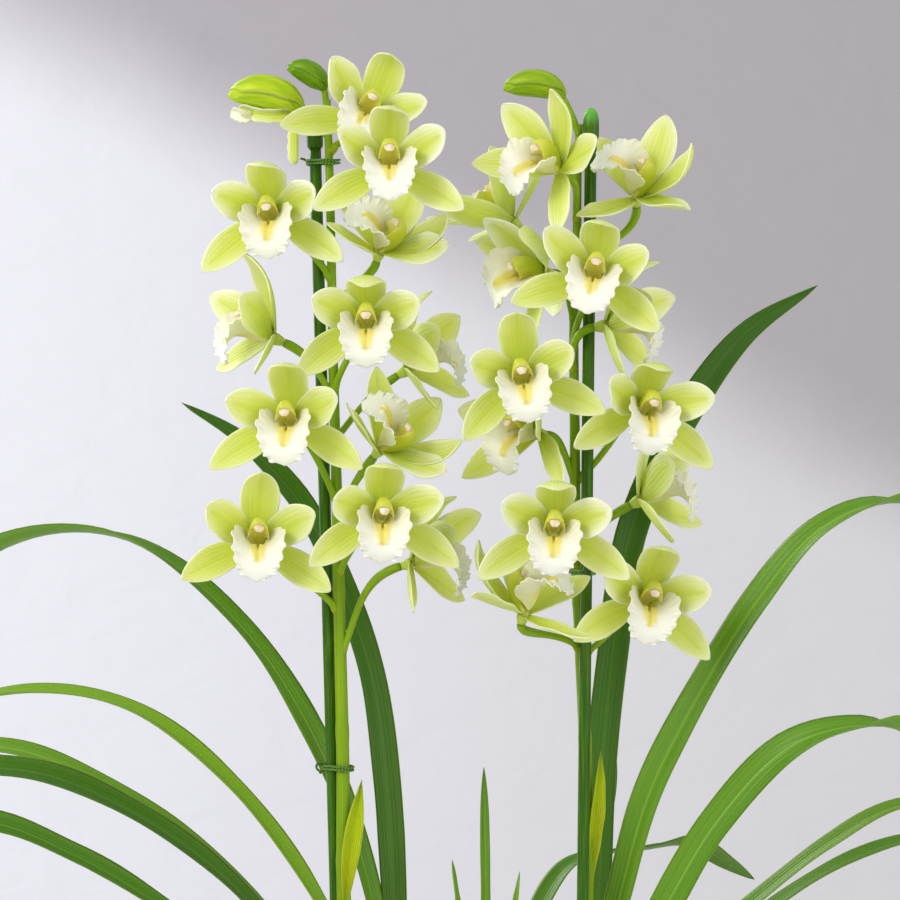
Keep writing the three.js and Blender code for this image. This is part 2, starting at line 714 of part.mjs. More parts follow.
function tieSolid({ stake, spike, height, ends }) {
  const post = stakeCurve(stake);
  const [low, high] = [post.v1, post.v2];
  const a = low.clone().lerp(high, (height - low.z) / (high.z - low.z));
  const b = pointAtHeight(spike.path, height);
  const between = b.clone().sub(a).setZ(0);
  const axis = between.clone().normalize();
  const across = vec(-axis.y, axis.x, 0);
  const gap = TIE.wire + TIE.room;
  const [ra, rb] = [STAKE.radius + gap, spike.foot + gap];
  const ring = [];
  for (let i = 0; i < TIE.steps; i++) {
    const turn = (2 * Math.PI * (i + 0.5)) / TIE.steps;
    const [c, s] = [Math.cos(turn), Math.sin(turn)];
    const [centre, radius] = c < 0 ? [a, ra] : [b, rb];
    const point = centre.clone().addScaledVector(axis, radius * c).addScaledVector(across, radius * s);
    ring.push(point.setZ(height));
  }
  const bands = ring.map((p) => {
    const out = p.clone().sub(a.clone().lerp(b, 0.5)).setZ(0).normalize();
    return Array.from({ length: TIE.sides }, (_, j) => {
      const turn = (2 * Math.PI * j) / TIE.sides;
      const round = p.clone().addScaledVector(out, TIE.wire * Math.cos(turn));
      return round.add(vec(0, 0, TIE.wire * 1.3 * Math.sin(turn)));
    });
  });
  const closed = loft([...bands, bands[0]]);
  const count = TIE.steps * TIE.sides * 6;
  const hoop = new THREE.BufferGeometry().setAttribute("position", closed.getAttribute("position"));
  hoop.setIndex(Array.from(closed.getIndex().array).slice(0, count));
  const start = ring[TIE.steps / 2];
  const tails = ends.map((end) =>
    solidFrom(tube(new THREE.LineCurve3(start, start.clone().add(vec(...end))), () => TIE.wire * 0.9, 4, 1)),
  );
  return fuse([solidFrom(hoop), ...tails]);
}

const TIES = {
  tie_left_low: { stake: STAKE_LEFT, spike: SPIKE_LEFT, height: 306, ends: [[-4, -3, 2], [-3, -3, -3]] },
  tie_left_high: { stake: STAKE_LEFT, spike: SPIKE_LEFT, height: 609, ends: [[-4, -2, 2]] },
  tie_right: { stake: STAKE_RIGHT, spike: SPIKE_RIGHT, height: 404, ends: [[-4, -3, 2], [-3, -3, -4]] },
};

// ---- Pot and bark ----

function potSolid() {
  const { height, rimRadius, rimBand, rimStep, footRadius, wall, floor, sides } = POT;
  const shoulder = rimRadius - rimStep;
  const outline = [
    [0, 0],
    [footRadius - 2, 0],
    [footRadius, 2],
    [shoulder - 1, height - rimBand],
    [rimRadius - 0.6, height - rimBand + 1.2],
    [rimRadius, height - 2],
    [rimRadius - 1.6, height],
    [rimRadius - wall - 0.8, height],
    [rimRadius - wall - 2, height - 1.6],
    [footRadius - wall + 0.6, floor],
    [0, floor],
  ];
  const points = outline.map(([r, z]) => new THREE.Vector2(r, z));
  const turned = new THREE.LatheGeometry(points, sides).rotateX(Math.PI / 2);
  const holes = Array.from({ length: DRAIN.count }, (_, i) => {
    const turn = (2 * Math.PI * i) / DRAIN.count;
    const hole = new THREE.CylinderGeometry(DRAIN.radius, DRAIN.radius, 4 * floor, DRAIN.sides);
    hole.rotateX(Math.PI / 2).translate(DRAIN.ring * Math.cos(turn), DRAIN.ring * Math.sin(turn), 0);
    return solidFrom(hole);
  });
  return carve(solidFrom(turned), holes);
}

// Inside radius of the pot at a height.
function insideRadius(z) {
  const low = POT.footRadius - POT.wall + 0.6;
  const high = POT.rimRadius - POT.wall - 2;
  return low + ((high - low) * (z - POT.floor)) / (POT.height - 1.6 - POT.floor);
}

// Bark fills the pot, with coarse chips lying on it, and keeps clear of all that stands in it.
function barkSolid(standing) {
  const bottom = POT.floor + CLEARANCE;
  const outline = [
    [0, bottom],
    [insideRadius(bottom) - 2 * CLEARANCE, bottom],
    [insideRadius(BARK.top - 5) - 2 * CLEARANCE, BARK.top - 5],
    [60, BARK.top - 1],
    [0, BARK.top],
  ];
  const points = outline.map(([r, z]) => new THREE.Vector2(r, z));
  const fill = solidFrom(new THREE.LatheGeometry(points, POT.sides).rotateX(Math.PI / 2));
  const golden = Math.PI * (3 - Math.sqrt(5));
  const reach = insideRadius(BARK.top) - BARK.margin;
  const chips = Array.from({ length: BARK.chips }, (_, i) => {
    const r = reach * Math.sqrt((i + 0.5) / BARK.chips);
    const turn = i * golden;
    const chip = new THREE.BoxGeometry(
      BARK.chipLength * (1 + 0.3 * vary(i, 1)),
      BARK.chipWidth * (1 + 0.3 * vary(i, 2)),
      BARK.chipHeight * (1 + 0.25 * vary(i, 3)),
    );
    chip.rotateX(0.35 * vary(i, 4)).rotateY(0.35 * vary(i, 5)).rotateZ(Math.PI * vary(i, 6));
    const level = BARK.top - 0.6 - 4 * (r / reach) ** 3;
    return solidFrom(chip.translate(r * Math.cos(turn), r * Math.sin(turn), level));
  });
  return carve(fuse([fill, ...chips]), standing);
}

// ---- Assembly ----

const plant = new THREE.Group();

function addMesh(parent, name, solid, colour, roughness = 0.5) {
  const material = new THREE.MeshStandardMaterial({ color: colour, roughness, metalness: 0 });
  const mesh = new THREE.Mesh(geometryFrom(solid), material);
  mesh.name = name;
  parent.add(mesh);
}

// Flowers at the back of the spike, whose lip is part of the same solid.
const FUSED_LIPS = ["right_08", "right_11"];

function addFlowers(side, flowers, seed) {
  flowers.forEach((flower, i) => {
    const label = `${side}_${String(i + 1).padStart(2, "0")}`;
    const place = placement(flower);
    const group = new THREE.Group();
    group.position.copy(place.position);
    group.quaternion.copy(place.quaternion);
    const number = seed + i;
    if (FUSED_LIPS.includes(label)) {
      const joint = new THREE.BoxGeometry(3, 3, 1.6).translate(0, -4, -2.2);
      const whole = fuse([bloomSolid(number, flower), solidFrom(joint), lipSolid(number)]);
      addMesh(group, `bloom_${label}`, whole, COLOURS.tepal);
    } else {
      addMesh(group, `bloom_${label}`, bloomSolid(number, flower), COLOURS.tepal);
      addMesh(group, `lip_${label}`, lipSolid(number), COLOURS.lip);
    }
    plant.add(group);
  });
}

addFlowers("left", FLOWERS_LEFT, 1);
addFlowers("right", FLOWERS_RIGHT, 31);
addMesh(plant, "spike_left", spikeSolid(SPIKE_LEFT, FLOWERS_LEFT, BUDS_LEFT, BRACTS_LEFT), COLOURS.stem);
addMesh(plant, "spike_right", spikeSolid(SPIKE_RIGHT, FLOWERS_RIGHT, BUDS_RIGHT, BRACTS_RIGHT), COLOURS.stem);
addMesh(plant, "shoot_left", shootSolid(BULB_LEFT, LEAVES_LEFT), COLOURS.leaf, 0.4);
addMesh(plant, "shoot_right", shootSolid(BULB_RIGHT, LEAVES_RIGHT), COLOURS.leaf, 0.4);
addMesh(plant, "shoot_young", shootSolid(BULB_YOUNG, LEAVES_YOUNG), COLOURS.leaf, 0.4);
addMesh(plant, "stake_left", stakeSolid(STAKE_LEFT), COLOURS.stake, 0.35);
addMesh(plant, "stake_right", stakeSolid(STAKE_RIGHT), COLOURS.stake, 0.35);
for (const [name, tie] of Object.entries(TIES)) addMesh(plant, name, tieSolid(tie), COLOURS.tie);
addMesh(plant, "pot", potSolid(), COLOURS.pot, 0.35);

const stemRoom = (spike) =>
  solidFrom(tube(curveThrough(spike.path.slice(0, 3)), () => spike.foot + 2 * CLEARANCE, STEM.sides, 4));
const standing = [
  stakeSolid(STAKE_LEFT, CLEARANCE),
  stakeSolid(STAKE_RIGHT, CLEARANCE),
  stemRoom(SPIKE_LEFT),
  stemRoom(SPIKE_RIGHT),
  ...[BULB_LEFT, BULB_RIGHT, BULB_YOUNG].map((bulb) => bulbSolid(bulb, CLEARANCE)),
];
addMesh(plant, "potting_bark", barkSolid(standing), COLOURS.bark, 0.9);

export default plant;
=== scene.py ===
"""The looks of a potted cymbidium orchid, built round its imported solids.

Lengths are in millimetres until a mesh is made, and the frame is the solids' own: the origin is the
centre of the pot's underside, Z is up and the plant is seen from -Y."""

import math

import bpy
import numpy as np
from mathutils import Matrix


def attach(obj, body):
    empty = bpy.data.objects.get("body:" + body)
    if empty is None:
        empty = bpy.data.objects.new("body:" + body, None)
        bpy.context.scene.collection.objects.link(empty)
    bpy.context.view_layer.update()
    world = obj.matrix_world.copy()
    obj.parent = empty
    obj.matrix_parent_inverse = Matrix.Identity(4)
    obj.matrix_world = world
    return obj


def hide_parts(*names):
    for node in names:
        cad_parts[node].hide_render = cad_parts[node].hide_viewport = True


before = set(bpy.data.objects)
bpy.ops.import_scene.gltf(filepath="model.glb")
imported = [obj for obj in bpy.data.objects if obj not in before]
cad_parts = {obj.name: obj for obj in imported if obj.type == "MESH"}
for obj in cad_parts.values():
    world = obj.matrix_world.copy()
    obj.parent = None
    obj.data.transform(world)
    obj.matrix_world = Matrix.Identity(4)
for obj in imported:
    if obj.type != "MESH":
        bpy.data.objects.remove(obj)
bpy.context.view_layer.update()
MM = 0.001
TURN = 6.283  # a full turn
BARK_SEED = 7
rng = np.random.default_rng(BARK_SEED)


# ---- Numbers and curves ----


def unit(v):
    return v / np.maximum(np.linalg.norm(v, axis=-1, keepdims=True), 1e-12)


def circle(sides):
    return np.linspace(0, 2 * np.pi, sides, endpoint=False)


def vary(a, b):
    """The same draw for the same pair of numbers, from -1 to 1."""
    x = math.sin(a * 12.9898 + b * 78.233) * 43758.5453
    return 2 * (x - math.floor(x)) - 1


def smooth(x, low, high):
    t = np.clip((np.asarray(x, float) - low) / (high - low), 0, 1)
    return t * t * (3 - 2 * t)


def hump(x, at, width):
    return np.exp(-(((x - at) / width) ** 2))


def curve_through(points, count, dense=40):
    """count points evenly along a centripetal Catmull-Rom curve through the given ones."""
    p = np.array(points, float)
    p = np.vstack([2 * p[0] - p[1], p, 2 * p[-1] - p[-2]])
    out = []
    t = np.linspace(0, 1, dense, endpoint=False)[:, None]
    for k in range(1, len(p) - 2):
        a, b, c, d = p[k - 1 : k + 3]
        d0, d1, d2 = (max(1e-4, np.linalg.norm(v) ** 0.5) for v in (b - a, c - b, d - c))
        t1 = ((b - a) / d0 - (c - a) / (d0 + d1) + (c - b) / d1) * d1
        t2 = ((c - b) / d1 - (d - b) / (d1 + d2) + (d - c) / d2) * d1
        out.append(b + t1 * t + (-3 * b + 3 * c - 2 * t1 - t2) * t**2 + (2 * b - 2 * c + t1 + t2) * t**3)
    out.append(p[-2][None])
    return evenly(np.vstack(out), count)


def evenly(path, count):
    """The path resampled to count points, the same distance apart."""
    far = np.r_[0, np.cumsum(np.linalg.norm(np.diff(path, axis=0), axis=1))]
    at = np.linspace(0, far[-1], count)
    return read_at(at, far, path)


def read_at(at, places, rows):
    """Rows of three numbers that stand at the given places, read at others."""
    return np.stack([np.interp(at, places, rows[:, i]) for i in range(3)], -1)


def bezier(points, count):
    """A quadratic or cubic Bezier curve."""
    p = np.array(points, float)
    t = np.linspace(0, 1, count)[:, None]
    n = len(p) - 1
    return sum(math.comb(n, k) * (1 - t) ** (n - k) * t**k * p[k] for k in range(n + 1))


def rows_between(table, count):
    """A table of rows read at count even places, smoothly between them."""
    p = np.array(table, float)
    u = np.linspace(0, len(p) - 1, count)
    k = np.minimum(u.astype(int), len(p) - 2)
    t = (u - k)[:, None]
    p = np.vstack([2 * p[0] - p[1], p, 2 * p[-1] - p[-2]])
    a, b, c, d = p[k], p[k + 1], p[k + 2], p[k + 3]
    return 0.5 * (2 * b + (c - a) * t + (2 * a - 5 * b + 4 * c - d) * t**2 + (3 * b - a - 3 * c + d) * t**3)


def grid_along(centre, across, over, sideways, lift):
    """A grid of points on both sides of a line, from how far each lies across and over it."""
    return centre[:, None] + across[:, None] * sideways[..., None] + over[:, None] * lift[..., None]


# ---- Skins ----


class Shape:
    """Closed skins gathered into one piece, with numbers on each vertex for the materials to read."""

    def __init__(self):
        self.points, self.faces, self.marks, self.look = [], [], [], []
        self.count = 0

    def add(self, points, faces, look, **marks):
        """faces are rows of 4 corners, and one that comes twice in a row leaves a triangle. look is the
        material's place in the piece's list."""
        a, b, c, d = (points[faces[:, i]] for i in range(4))
        if np.sum(np.cross(a, b) * c) + np.sum(np.cross(a, c) * d) < 0:
            faces = faces[:, ::-1]
        for face in (faces + self.count).tolist():
            self.faces.append([corner for i, corner in enumerate(face) if corner != face[i - 1]])
        self.look += [look] * len(faces)
        self.points.append(points)
        self.marks.append({k: np.broadcast_to(np.asarray(v, float), len(points)) for k, v in marks.items()})
        self.count += len(points)

    def build(self, name, nodes, materials):
        mesh = bpy.data.meshes.new(name)
        mesh.from_pydata((np.vstack(self.points) * MM).tolist(), [], self.faces)
        for key in sorted(set().union(*self.marks)):
            values = [m.get(key, np.zeros(len(p))) for m, p in zip(self.marks, self.points)]
            mark = mesh.attributes.new(key, "FLOAT", "POINT")
            mark.data.foreach_set("value", np.concatenate(values).astype(np.float32))
        for material in materials:
            mesh.materials.append(material)
        mesh.polygons.foreach_set("material_index", self.look)
        mesh.polygons.foreach_set("use_smooth", [True] * len(self.faces))
        mesh.update()
        piece = bpy.data.objects.new(name, mesh)
        bpy.context.scene.collection.objects.link(piece)
        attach(piece, "root")
        if nodes:
            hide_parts(*nodes)
        return piece


def quads(rows, columns, closed=False):
    """The faces of a grid of points, joined round its columns if closed."""
    i, j = np.meshgrid(np.arange(rows - 1), np.arange(columns if closed else columns - 1), indexing="ij")
    k = (j + 1) % columns
    corners = [i * columns + j, i * columns + k, (i + 1) * columns + k, (i + 1) * columns + j]
    return np.stack(corners, -1).reshape(-1, 4)


def blade(shape, grid, thickness, look=0, relief=None, **marks):
    """A thin closed leaf round a grid of points. relief stands up from its face side only."""
    rows, columns = grid.shape[:2]
    n = unit(np.cross(np.gradient(grid, axis=1), np.gradient(grid, axis=0)))
    inner = np.zeros((rows, columns))
    inner[1:-1, 1:-1] = 1
    span = np.linalg.norm(grid[:, -1] - grid[:, 0], axis=1)[:, None]
    half = (np.minimum(thickness, 0.3 * span) * inner / 2)[..., None] * n
    front, back = grid + half, grid - half
    if relief is not None:
        front = front + (relief * inner)[..., None] * n
    number = np.arange(rows * columns).reshape(rows, columns)
    under = number.copy()
    under[1:-1, 1:-1] = rows * columns + np.arange((rows - 2) * (columns - 2)).reshape(rows - 2, columns - 2)
    faces = quads(rows, columns)
    points = np.vstack([front.reshape(-1, 3), back[1:-1, 1:-1].reshape(-1, 3)])
    faces = np.vstack([faces, under.reshape(-1)[faces][:, ::-1]])
    both = {"front": np.r_[np.ones(rows * columns), np.zeros((rows - 2) * (columns - 2))]}
    for key, value in marks.items():
        value = np.broadcast_to(np.asarray(value, float), (rows, columns))
        both[key] = np.r_[value.reshape(-1), value[1:-1, 1:-1].reshape(-1)]
    shape.add(points, faces, look, **both)


def tube(shape, path, radii, sides, look=0, bulge=None, **marks):
    """A round skin along a path. bulge(along, turn) scales its radius where it isn't round."""
    path = np.asarray(path, float)
    count = len(path)
    tangent = unit(np.gradient(path, axis=0))
    side = np.array([1.0, 0, 0]) if abs(tangent[0][0]) < 0.8 else np.array([0, 1.0, 0])
    across = []
    for t in tangent:
        side = unit(side - t * side.dot(t))
        across.append(side)
    across = np.array(across)
    turn, along = circle(sides), np.linspace(0, 1, count)
    radius = np.broadcast_to(np.asarray(radii, float), count)[:, None] * np.ones(sides)
    if bulge is not None:
        radius = radius * bulge(along[:, None], turn[None, :])
    over = np.cross(tangent, across)
    rings = grid_along(path, across, over, radius * np.cos(turn), radius * np.sin(turn))
    around = np.tile(turn / (2 * np.pi), count)
    close_off(shape, rings, look, along=np.repeat(along, sides), around=around, **marks)


def close_off(shape, rings, look=0, along=None, around=None, **marks):
    """Rings of points joined into one skin, each end closed with a fan."""
    count, sides = rings.shape[:2]
    points = np.vstack([rings.reshape(-1, 3), rings[0].mean(0), rings[-1].mean(0)])
    j = np.arange(sides)
    k = (j + 1) % sides
    first, last, top = np.full(sides, count * sides), np.full(sides, count * sides + 1), (count - 1) * sides
    low = np.stack([k, j, first, first], 1)
    high = np.stack([j + top, k + top, last, last], 1)
    if along is not None:
        marks = {"along": np.r_[along, 0, 1], "around": np.r_[around, 0, 0], **marks}
    shape.add(points, np.vstack([quads(count, sides, closed=True), low, high]), look, **marks)


def egg(shape, centre, axes, look=0, rows=12, sides=18, **marks):
    """An ellipsoid with the given half-axes, as three vectors."""
    lat, turn = np.linspace(0.06, np.pi - 0.06, rows)[:, None, None], circle(sides)[None, :, None]
    a, b, c = (np.array(v, float) for v in axes)
    rings = np.array(centre, float) + np.sin(lat) * (np.cos(turn) * a + np.sin(turn) * b) + np.cos(lat) * c
    close_off(shape, rings, look, **marks)


# ---- Materials ----
# Colours are sRGB from 0 to 255, and the depths of bumps and of light are in metres.


def linear(rgb):
    """An sRGB colour as the linear one that shaders take."""
    c = np.array(rgb, float) / 255
    c = np.where(c <= 0.04045, c / 12.92, ((c + 0.055) / 1.055) ** 2.4)
    return (*c.tolist(), 1.0)


class Value:
    """What a node of a material gives. Sums and products of values are nodes as well."""

    def __init__(self, look, socket):
        self.look, self.socket = look, socket

    def __add__(self, other):
        return self.look.math("ADD", self, other)

    def __mul__(self, other):
        return self.look.math("MULTIPLY", self, other)

    def __abs__(self):
        return self.look.math("ABSOLUTE", self)

    def sine(self):
        return self.look.math("SINE", self)

    def ease(self, low, high, to_low=0.0, to_high=1.0):
        """Goes smoothly from to_low to to_high as this value goes from low to high."""
        ends = low, high, to_low, to_high
        return self.look.wired("ShaderNodeMapRange", self, *ends, interpolation_type="SMOOTHSTEP")

    def ramp(self, *stops):
        """The colour at this value, between stops that each give a place and a colour."""
        made = self.look.wired("ShaderNodeValToRGB", self)
        elements = made.socket.node.color_ramp.elements
        while len(elements) < len(stops):
            elements.new(0.5)
        for element, (at, rgb) in zip(elements, stops):
            element.position = at
            element.color = linear(rgb)
        return made


class Look:
    """A material under construction."""

    def __init__(self, name, roughness, gloss=0.5, soft=()):
        """soft is the share of light that enters, how deep it goes, and its reach in red, green and blue."""
        self.material = bpy.data.materials.new(name)
        self.material.use_nodes = True
        self.tree = self.material.node_tree
        self.inputs = self.tree.nodes["Principled BSDF"].inputs
        self.inputs["Roughness"].default_value = roughness
        self.inputs["Specular IOR Level"].default_value = gloss
        for key, value in zip(("Weight", "Scale", "Radius"), soft):
            self.inputs["Subsurface " + key].default_value = value

    def link(self, value, socket):
        if isinstance(value, Value):
            self.tree.links.new(value.socket, socket)
        else:
            socket.default_value = value

    def wired(self, kind, *values, **settings):
        """A new node with these values on its first inputs, as its first output."""
        made = self.tree.nodes.new(kind)
        for key, value in settings.items():
            setattr(made, key, value)
        for value, socket in zip(values, made.inputs):
            self.link(value, socket)
        return Value(self, made.outputs[0])

    def marks(self, names):
        """Numbers that the mesh holds on its vertices."""
        found = (self.wired("ShaderNodeAttribute", attribute_name=name).socket.node for name in names.split())
        return [Value(self, node.outputs["Fac"]) for node in found]

    def math(self, operation, a, b=0.0):
        return self.wired("ShaderNodeMath", a, b, operation=operation)

    def mix(self, share, a, b, kind="MIX"):
        made = self.wired("ShaderNodeMix", share, data_type="RGBA", blend_type=kind).socket.node
        for colour, socket in ((a, made.inputs[6]), (b, made.inputs[7])):
            self.link(linear(colour) if isinstance(colour, tuple) else colour, socket)
        return Value(self, made.outputs[2])

    def coats(self, body, *coats):
        """Colours over one another. Each coat is its share and its colour."""
        for share, colour in coats:
            body = self.mix(share, body, colour)
        return body

    def where(self):
        return Value(self, self.wired("ShaderNodeTexCoord").socket.node.outputs["Object"])

    def noise(self, scale, detail, at=None, stretch=None):
        where = at or self.where()
        if stretch:
            node = self.wired("ShaderNodeMapping", where).socket.node
            node.inputs["Scale"].default_value = stretch
            where = Value(self, node.outputs[0])
        node = self.wired("ShaderNodeTexNoise", where).socket.node
        node.inputs["Scale"].default_value = scale
        node.inputs["Detail"].default_value = detail
        return Value(self, node.outputs["Fac"])

    def place(self, x, y, z=0.0):
        return self.wired("ShaderNodeCombineXYZ", x, y, z)

    def colour(self, value):
        self.link(value, self.inputs["Base Color"])

    def roughness(self, value):
        self.link(value, self.inputs["Roughness"])

    def bump(self, height, distance, strength=1.0):
        node = self.wired("ShaderNodeBump").socket.node
        node.inputs["Distance"].default_value = distance
        node.inputs["Strength"].default_value = strength
        self.link(height, node.inputs["Height"])
        self.link(Value(self, node.outputs[0]), self.inputs["Normal"])


def veins(look, cross, along, tone, lines, spread):
    """Fine lines that run lengthwise on a blade and wander a little, from 0 to 1."""
    wander = look.noise(1, 2, at=look.place(along * 3, cross * 2, tone))
    return abs((cross * lines + wander * spread).sine())


def tepal_look():
    look = Look("tepal", 0.5, gloss=0.3, soft=(0.4, 0.005, (1, 1, 0.4)))
    along, cross, edge, tone, front, pale = look.marks("along cross edge tone front pale")
    blotch = look.noise(45, 2)
    line = veins(look, cross, along, tone, 13, 2.6)
    whiten = (edge * 0.55 + along * 0.6).ease(0.4, 1.1) * (pale * 0.6 + 0.3)
    body = look.coats(
        along.ramp((0, (172, 186, 34)), (0.2, (190, 204, 74)), (0.6, (202, 213, 104)), (1, (209, 217, 124))),
        (blotch.ease(0.35, 0.75, 0, 0.4), (186, 203, 72)),
        (line.ease(0.4, 0, 0, 0.12), (166, 188, 50)),
        (abs(cross).ease(0.2, 0, 0, 0.3), (172, 194, 50)),
        (whiten * tone.ease(-1, 1, 0.6, 1.3), (238, 240, 206)),
        (edge.ease(0.76, 1) * along.ease(0.1, 0.6, 0.1, 0.42), (240, 242, 210)),
    )
    look.colour(look.mix(front, look.mix(0.4, body, (186, 204, 84)), body))
    look.roughness(blotch.ease(0.3, 0.7, 0.42, 0.55))
    look.bump(line + look.noise(900, 2) * 0.5, 0.00012)
    return look.material


def column_look():
    look = Look("column", 0.4, gloss=0.35, soft=(0.6, 0.006, (1, 1, 0.3)))
    along, under = look.marks("along under")
    top = along.ramp((0, (172, 184, 40)), (0.5, (186, 194, 56)), (1, (204, 204, 82)))
    # The underside's pale yellow is partly its own colour and partly painted light that lifts the shade of its
    # hollow.
    low = along.ramp((0, (240, 230, 110)), (0.5, (242, 234, 124)), (1, (240, 234, 150)))
    look.colour(look.mix(under, top, low))
    look.bump(look.noise(500, 2), 0.0002)
    return look.material


def anther_look():
    look = Look("anther", 0.45, soft=(0.2, 0.002))
    look.colour(look.mix(look.noise(420, 2).ease(0.35, 0.65), (238, 222, 192), (226, 196, 164)))
    look.bump(look.noise(900, 2), 0.0001)
    return look.material


def lip_look():
    look = Look("lip", 0.55, gloss=0.3, soft=(0.3, 0.0015, (1, 0.97, 0.8)))
    along, cross, edge, ridge, tone, front = look.marks("along cross edge ridge tone front")
    line = veins(look, cross, along, tone, 15, 3)
    body = look.coats(
        along.ramp((0, (212, 206, 112)), (0.25, (226, 222, 184)), (0.5, (232, 230, 212)), (1, (234, 233, 222))),
        (line.ease(0.35, 0, 0, 0.06), (224, 224, 176)),
        (edge.ease(0.6, 0.1) * along.ease(0.72, 0.4) * 0.4, (240, 228, 140)),
        (ridge.ease(0.1, 0.9, 0, 0.85), (226, 212, 88)),
    )
    look.colour(look.mix(front, look.mix(0.4, body, (236, 236, 200)), body))
    look.bump(line * 0.4 + look.noise(700, 3), 0.0001)
    return look.material


def stem_look():
    look = Look("stem", 0.42, gloss=0.22, soft=(0.1, 0.003))
    along, around, pale = look.marks("along around pale")
    grain = look.noise(1, 3, at=look.place(around * 26, along * 7))
    rust = look.noise(9, 2).ease(0.56, 0.7) * grain.ease(0.5, 0.62)
    body = look.coats(
        (104, 142, 0),
        (grain.ease(0.3, 0.7), (138, 166, 14)),
        (look.noise(16, 2).ease(0.4, 0.7, 0, 0.5), (86, 126, 0)),
        (rust * 0.5, (146, 128, 20)),
        (pale, (150, 186, 14)),
    )
    look.colour(body)
    look.bump(grain, 0.0003)
    return look.material


def bud_look():
    look = Look("bud", 0.42, gloss=0.25, soft=(0.15, 0.003))
    along, cross, edge, ripe = look.marks("along cross edge ripe")
    grain = look.noise(1, 2, at=look.place(cross * 3, along * 2))
    shut = look.mix(grain.ease(0.25, 0.75), (82, 126, 0), (116, 156, 0))
    opening = look.mix(grain.ease(0.3, 0.7), (148, 180, 0), (184, 204, 34))
    rim = look.mix(ripe, (150, 186, 60), (214, 222, 110))
    look.colour(look.mix(edge.ease(0.84, 1, 0, 0.8), look.mix(ripe, shut, opening), rim))
    look.bump(grain, 0.0003)
    return look.material


def bract_look():
    look = Look("bract", 0.45, gloss=0.25, soft=(0.2, 0.003))
    along, cross, tone = look.marks("along cross tone")
    line = veins(look, cross, along, tone, 16, 2)
    body = look.coats(
        along.ramp((0, (132, 152, 0)), (0.35, (172, 184, 0)), (0.8, (170, 192, 0)), (1, (150, 178, 10))),
        (line.ease(0.5, 0, 0, 0.3), (136, 162, 0)),
        (abs(cross).ease(0.9, 1, 0, 0.7), (198, 212, 80)),
    )
    look.colour(body)
    look.bump(line, 0.00025)
    return look.material


def leaf_look():
    look = Look("leaf", 0.4, gloss=0.3, soft=(0.06, 0.003))
    along, cross, tone, front = look.marks("along cross tone front")
    line = veins(look, cross, along, tone, 13, 0.5)
    streak = look.noise(1, 2, at=look.place(cross * 2.6, along * 1.4, tone))
    body = look.coats(
        along.ramp((0, (116, 152, 40)), (0.2, (84, 134, 14)), (0.75, (76, 126, 12)), (1, (60, 104, 0))),
        (streak.ease(0.3, 0.75, 0, 0.55), (110, 154, 30)),
        (line.ease(0.5, 0, 0, 0.14), (56, 100, 2)),
        (abs(cross).ease(0.09, 0, 0, 0.6), (146, 184, 66)),
        (tone.ease(0, -1, 0, 0.8), (44, 92, 0)),
        (tone.ease(0.2, 1, 0, 0.65), (128, 170, 28)),
        (abs(cross).ease(0.93, 1, 0, 0.5), (150, 184, 70)),
    )
    look.colour(look.mix(front, look.mix(0.4, body, (118, 158, 66)), body))
    look.roughness(streak.ease(0.3, 0.7, 0.36, 0.46))
    look.bump(line, 0.00012)
    return look.material


def bulb_look():
    look = Look("pseudobulb", 0.5)
    around, along = look.marks("around along")
    line = abs((around * 60).sine())
    body = look.coats(
        along.ramp((0, (150, 128, 78)), (0.35, (134, 148, 60)), (1, (112, 142, 44))),
        (line.ease(0.4, 0, 0, 0.5), (92, 92, 40)),
        (look.noise(45, 3).ease(0.5, 0.7, 0, 0.6), (166, 146, 96)),
    )
    look.colour(body)
    look.bump(line + look.noise(160, 3), 0.0006)
    return look.material


def stake_look():
    look = Look("stake", 0.3, gloss=0.22)
    grain = look.noise(1, 2, stretch=(900, 900, 40))
    (cap,) = look.marks("cap")
    # The cap is a lighter green of its own, and its lightening towards the top is painted light.
    body = look.coats((42, 86, 0), (grain.ease(0.35, 0.7), (70, 110, 0)), (cap.ease(0.35, 1), (96, 176, 60)))
    look.colour(body)
    look.roughness(look.noise(90, 2).ease(0.3, 0.7, 0.22, 0.36))
    look.bump(grain, 0.0002)
    return look.material


def tie_look():
    look = Look("tie", 0.5)
    around, along = look.marks("around along")
    # The pale green that runs along the wire's twist is a painted highlight; the same pattern also raises the
    # twist's relief.
    twist_and_highlight = (around * TURN + along * 190).sine()
    look.colour(look.mix(twist_and_highlight.ease(-1, 1), (40, 98, 0), (128, 178, 60)))
    look.bump(twist_and_highlight, 0.0003)
    return look.material


def pot_look():
    look = Look("stoneware", 0.55)
    cloud, fleck = look.noise(14, 4).ease(0.3, 0.7), look.noise(620, 2).ease(0.66, 0.74, 0, 0.5)
    look.colour(look.coats((214, 208, 196), (cloud, (226, 221, 211)), (fleck, (150, 132, 110))))
    look.roughness(look.noise(120, 3).ease(0.3, 0.7, 0.46, 0.62))
    throwing = look.noise(1, 2, stretch=(4, 4, 260))
    look.bump(throwing + look.noise(900, 2) * 0.3, 0.0007)
    return look.material


def bark_look():
    look = Look("bark", 0.85)
    (tone,) = look.marks("tone")
    grain, patch = look.noise(230, 6, stretch=(1, 2.4, 1)), look.noise(40, 3)
    body = look.coats(
        (58, 36, 22), (grain.ease(0.3, 0.7), (128, 86, 54)), (patch.ease(0.5, 0.75, 0, 0.6), (150, 112, 78))
    )
    look.colour(look.mix(tone.ease(-1, 1, 0, 0.7), body, (92, 58, 36), kind="MULTIPLY"))
    look.bump(grain + patch, 0.0016)
    return look.material


TEPAL, COLUMN_SKIN, ANTHER, LIP_SKIN = tepal_look(), column_look(), anther_look(), lip_look()
STEM_SKIN, BUD_SKIN, BRACT_SKIN = stem_look(), bud_look(), bract_look()
LEAF_SKIN, BULB_SKIN = leaf_look(), bulb_look()

# ---- Flowers ----
# A flower's own axes: X to its right as it is looked at, -Y out of its face, +Z towards its top sepal.

